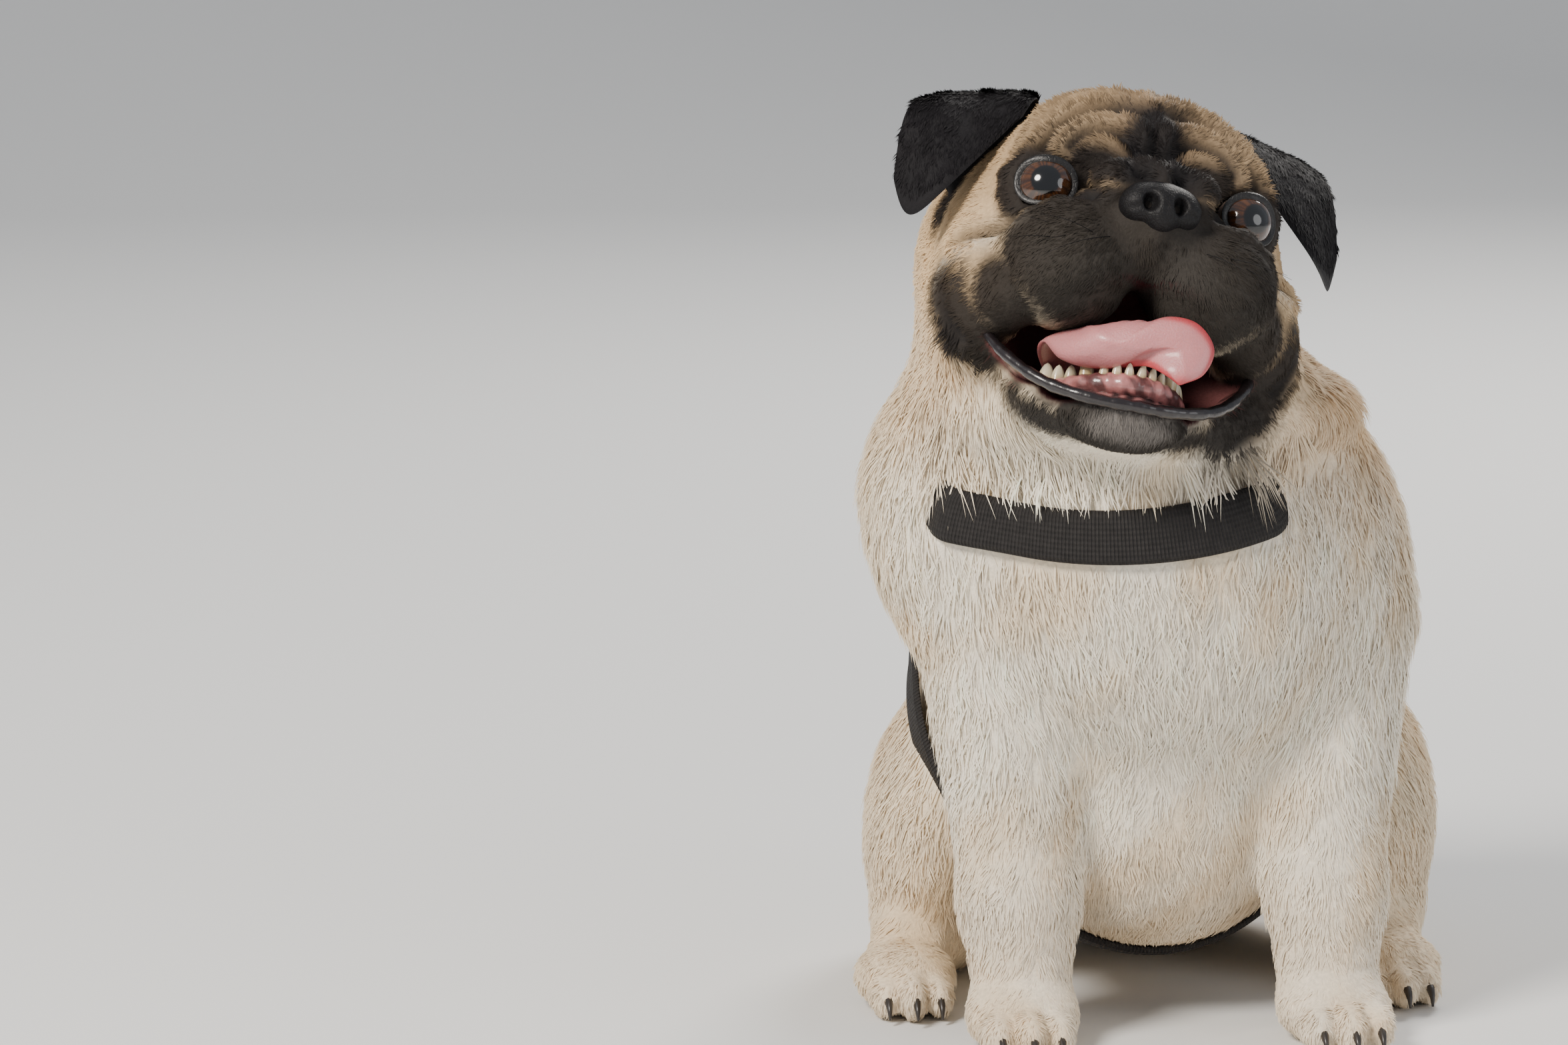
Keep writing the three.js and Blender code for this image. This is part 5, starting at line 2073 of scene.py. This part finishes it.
    def patches(self, roots: Roots) -> Array:
        """Each blade's patch of the bake map, at its root's place on an unwrap of the body.

        The head is unwrapped about its middle by longitude and latitude, the rest about an upright line.

        Args:
            roots: The roots.

        Returns:
            A place on the map for each point of the blades.
        """
        head = HEAD.inside(roots.at)
        x, y, z = roots.at.T
        on_head = self.on_head(roots.at) > 0.5
        around = np.arctan2(head[:, 0], -head[:, 1]) / (2 * math.pi) + 0.5
        height = np.arctan2(head[:, 2], np.hypot(head[:, 0], head[:, 1])) / math.pi + 0.5
        body = np.arctan2(x, -y + 20) / (2 * math.pi) + 0.5
        u = np.where(on_head, around, body)
        v = np.where(on_head, 0.52 + 0.47 * height, 0.01 + 0.48 * np.clip(z / 300, 0, 1))
        corner = np.stack([0.01 + 0.975 * u, v], -1)[:, None]
        shape = np.array([(0, 0), (0.5, 0), (1, 0), (0, 0.5), (0.5, 0.5), (1, 0.5), (0.5, 1)])
        return (corner + shape * self.patch).reshape(-1, 2)

    def build(self, shop: Workshop, finish: bpy.types.Material, skin: Skin, ears: Ears) -> int:
        """Makes the coat's pieces.

        Args:
            shop: What makes the pieces.
            finish: The pieces' material.
            skin: The skin.
            ears: The ears.

        Returns:
            The number of tufts.
        """
        rng = np.random.default_rng(self.seed)
        total = 0
        for name, roots, slot in (
            ("coat", self.scattered(skin, rng), Slot.CREAM),
            ("ear_coat", self.ear_roots(ears, rng, self.ear_count), Slot.BLACK),
        ):
            roots = self.clumped(roots, rng)
            order = np.argsort(roots.at[:, 2])
            roots = roots.chosen(order)
            pieces = max(1, math.ceil(len(order) / self.piece_size))
            for number, part in enumerate(np.array_split(np.arange(len(order)), pieces)):
                chosen = roots.chosen(part)
                points, faces, tone, normals = self.blades(chosen)
                own = {"tone": tone, "uv": self.patches(chosen), "uv_name": "OFBake", "normals": normals}
                shop.piece(f"{name}_{number + 1}", points, faces, finish, slot, **own)
            total += len(order)
        return total


# Studio


@dataclass
class Studio:
    """Pale swept floor, soft lights and the photo's camera."""

    azimuth: float = -6.0
    elevation: float = 9.0
    distance: float = 2475.0
    target: tuple[float, float, float] = (-153.0, 15.5, 205.0)
    lens: float = 135.0
    half_width: float = 16.0
    wall_top: float = 16.0
    sweep_start: float = 3.0
    sweep_radius: float = 2.5
    look_at: tuple[float, float, float] = (0.0, 0.0, 0.22)
    sky_colour: tuple[float, ...] = (0.86, 0.91, 1.0, 1.0)
    sky_strength: float = 0.42
    lamps: tuple[tuple, ...] = (
        ("key", (-1.7, -1.5, 2.1), 1.0, 104.0, 1.0),
        ("fill", (2.3, -1.7, 1.1), 1.8, 16.0, 0.0),
        ("rim", (1.2, 1.9, 1.9), 1.1, 60.0, 0.6),
    )

    def axes(self) -> tuple[Array, Array, Array]:
        """The camera's right, up and back, in the row's frame, which has the same axes as the dog's.

        Returns:
            Three unit vectors.
        """
        a, e = math.radians(self.azimuth), math.radians(self.elevation)
        back = np.array([math.sin(a) * math.cos(e), -math.cos(a) * math.cos(e), math.sin(e)])
        right = np.array([math.cos(a), math.sin(a), 0.0])
        return right, np.cross(back, right), back

    @staticmethod
    def placed(right: Array, up: Array, back: Array, at: Array) -> Matrix:
        """A placing whose columns are the axes given and the place."""
        rows = np.stack([right, up, back, at], 1)
        return Matrix([*rows.tolist(), [0.0, 0.0, 0.0, 1.0]])

    def camera(self, shift: Array) -> None:
        """Places the camera of the photo.

        Args:
            shift: From the dog's frame to the solids', in mm.
        """
        right, up, back = self.axes()
        at = (np.array(self.target) + back * self.distance + shift) / 1000
        data = bpy.data.cameras.new("photo_camera")
        data.lens = self.lens
        data.sensor_width = 36.0
        data.clip_end = 50.0
        eye = bpy.data.objects.new("photo_camera", data)
        bpy.context.scene.collection.objects.link(eye)
        eye.matrix_world = self.placed(right, up, back, at)
        bpy.context.scene.camera = eye

    def lamp(
        self, name: str, at: tuple[float, float, float], size: float, power: float, warm: float
    ) -> None:
        """Adds an area light that looks at the dog.

        Args:
            name: The light's name.
            at: Its place, in metres.
            size: Its diameter.
            power: Its power in watts.
            warm: How warm it is, from 0.
        """
        data = bpy.data.lights.new(name, "AREA")
        data.shape = "DISK"
        data.size = size
        data.energy = power
        data.color = (1.0, 1.0 - 0.06 * warm, 1.0 - 0.14 * warm)
        lamp = bpy.data.objects.new(name, data)
        bpy.context.scene.collection.objects.link(lamp)
        back = unit(np.array(at) - np.array(self.look_at))
        right = unit(np.cross([0.0, 0.0, 1.0], back))
        lamp.matrix_world = self.placed(right, np.cross(back, right), back, np.array(at))

    def floor(self, finish: bpy.types.Material) -> None:
        """A floor that sweeps up into a wall behind the dog.

        Args:
            finish: The pieces' material.
        """
        across = np.linspace(-self.half_width, self.half_width, 12)
        bend = np.radians(np.linspace(0, 90, 24))[1:]
        wall = self.sweep_start + self.sweep_radius
        swept = self.sweep_start + self.sweep_radius * np.sin(bend)
        ahead = np.concatenate([[-9.0, -3.0, 1.0], swept, [wall]])
        risen = self.sweep_radius * (1 - np.cos(bend))
        height = np.concatenate([[0.0, 0.0, 0.0], risen, [self.wall_top]])
        level = 0 * across
        rows = np.stack([np.stack([across, level + y, level + z], -1) for y, z in zip(ahead, height)])
        mesh = bpy.data.meshes.new("studio_floor")
        faces = grid_faces(len(ahead), len(across), False)
        mesh.from_pydata(rows.reshape(-1, 3).tolist(), [], faces.tolist())
        mesh.materials.append(finish)
        mesh.shade_smooth()
        floor = bpy.data.objects.new("studio_floor", mesh)
        bpy.context.scene.collection.objects.link(floor)

    def world(self) -> None:
        """A pale even sky."""
        world = bpy.data.worlds.new("studio_sky")
        world.use_nodes = True
        sky = world.node_tree.nodes["Background"]
        sky.inputs["Color"].default_value = self.sky_colour
        sky.inputs["Strength"].default_value = self.sky_strength
        bpy.context.scene.world = world

    def build(self, shift: Array, finish: bpy.types.Material) -> None:
        """Sets up the studio.

        Args:
            shift: From the dog's frame to the solids', in mm.
            finish: The pieces' material.
        """
        self.floor(finish)
        self.world()
        for lamp in self.lamps:
            self.lamp(*lamp)
        self.camera(shift)


def main() -> None:
    """Builds the pug, its harness and its studio, and logs what was made."""
    logging.basicConfig(level=logging.INFO, format="%(levelname)s %(message)s")
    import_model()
    animal = Animal()
    markings = Markings(animal)
    low, high = (np.array(corner) * 1000 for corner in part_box("eye_left"))
    shift = (low + high) / 2 - HEAD.out(animal.eye(1))
    groups = finish_groups()
    looks = {name: finish.make(groups) for name, finish in FINISHES.items()}
    shop = Workshop(shift)
    skin = Skin(animal, markings)
    skin.build(shop, looks["skin"])
    Eyes(animal).build(shop, looks["eyeball"], looks["wet rim"])
    Nose().build(shop, looks["nose leather"])
    ears = Ears()
    ears.build(shop, looks["skin"])
    Mouth().build(shop, looks)
    Trimmings(animal).build(shop, looks["claw"], looks["whisker"])
    Harness(animal).build(shop, looks["webbing"], looks["ring steel"])
    tufts = Coat(animal, markings).build(shop, looks["coat"], skin, ears)
    log.info("%d pieces, %d tufts, %d triangles", shop.pieces, tufts, shop.triangles)
    Studio().build(shift, looks["studio"])


if __name__ == "__main__":
    main()
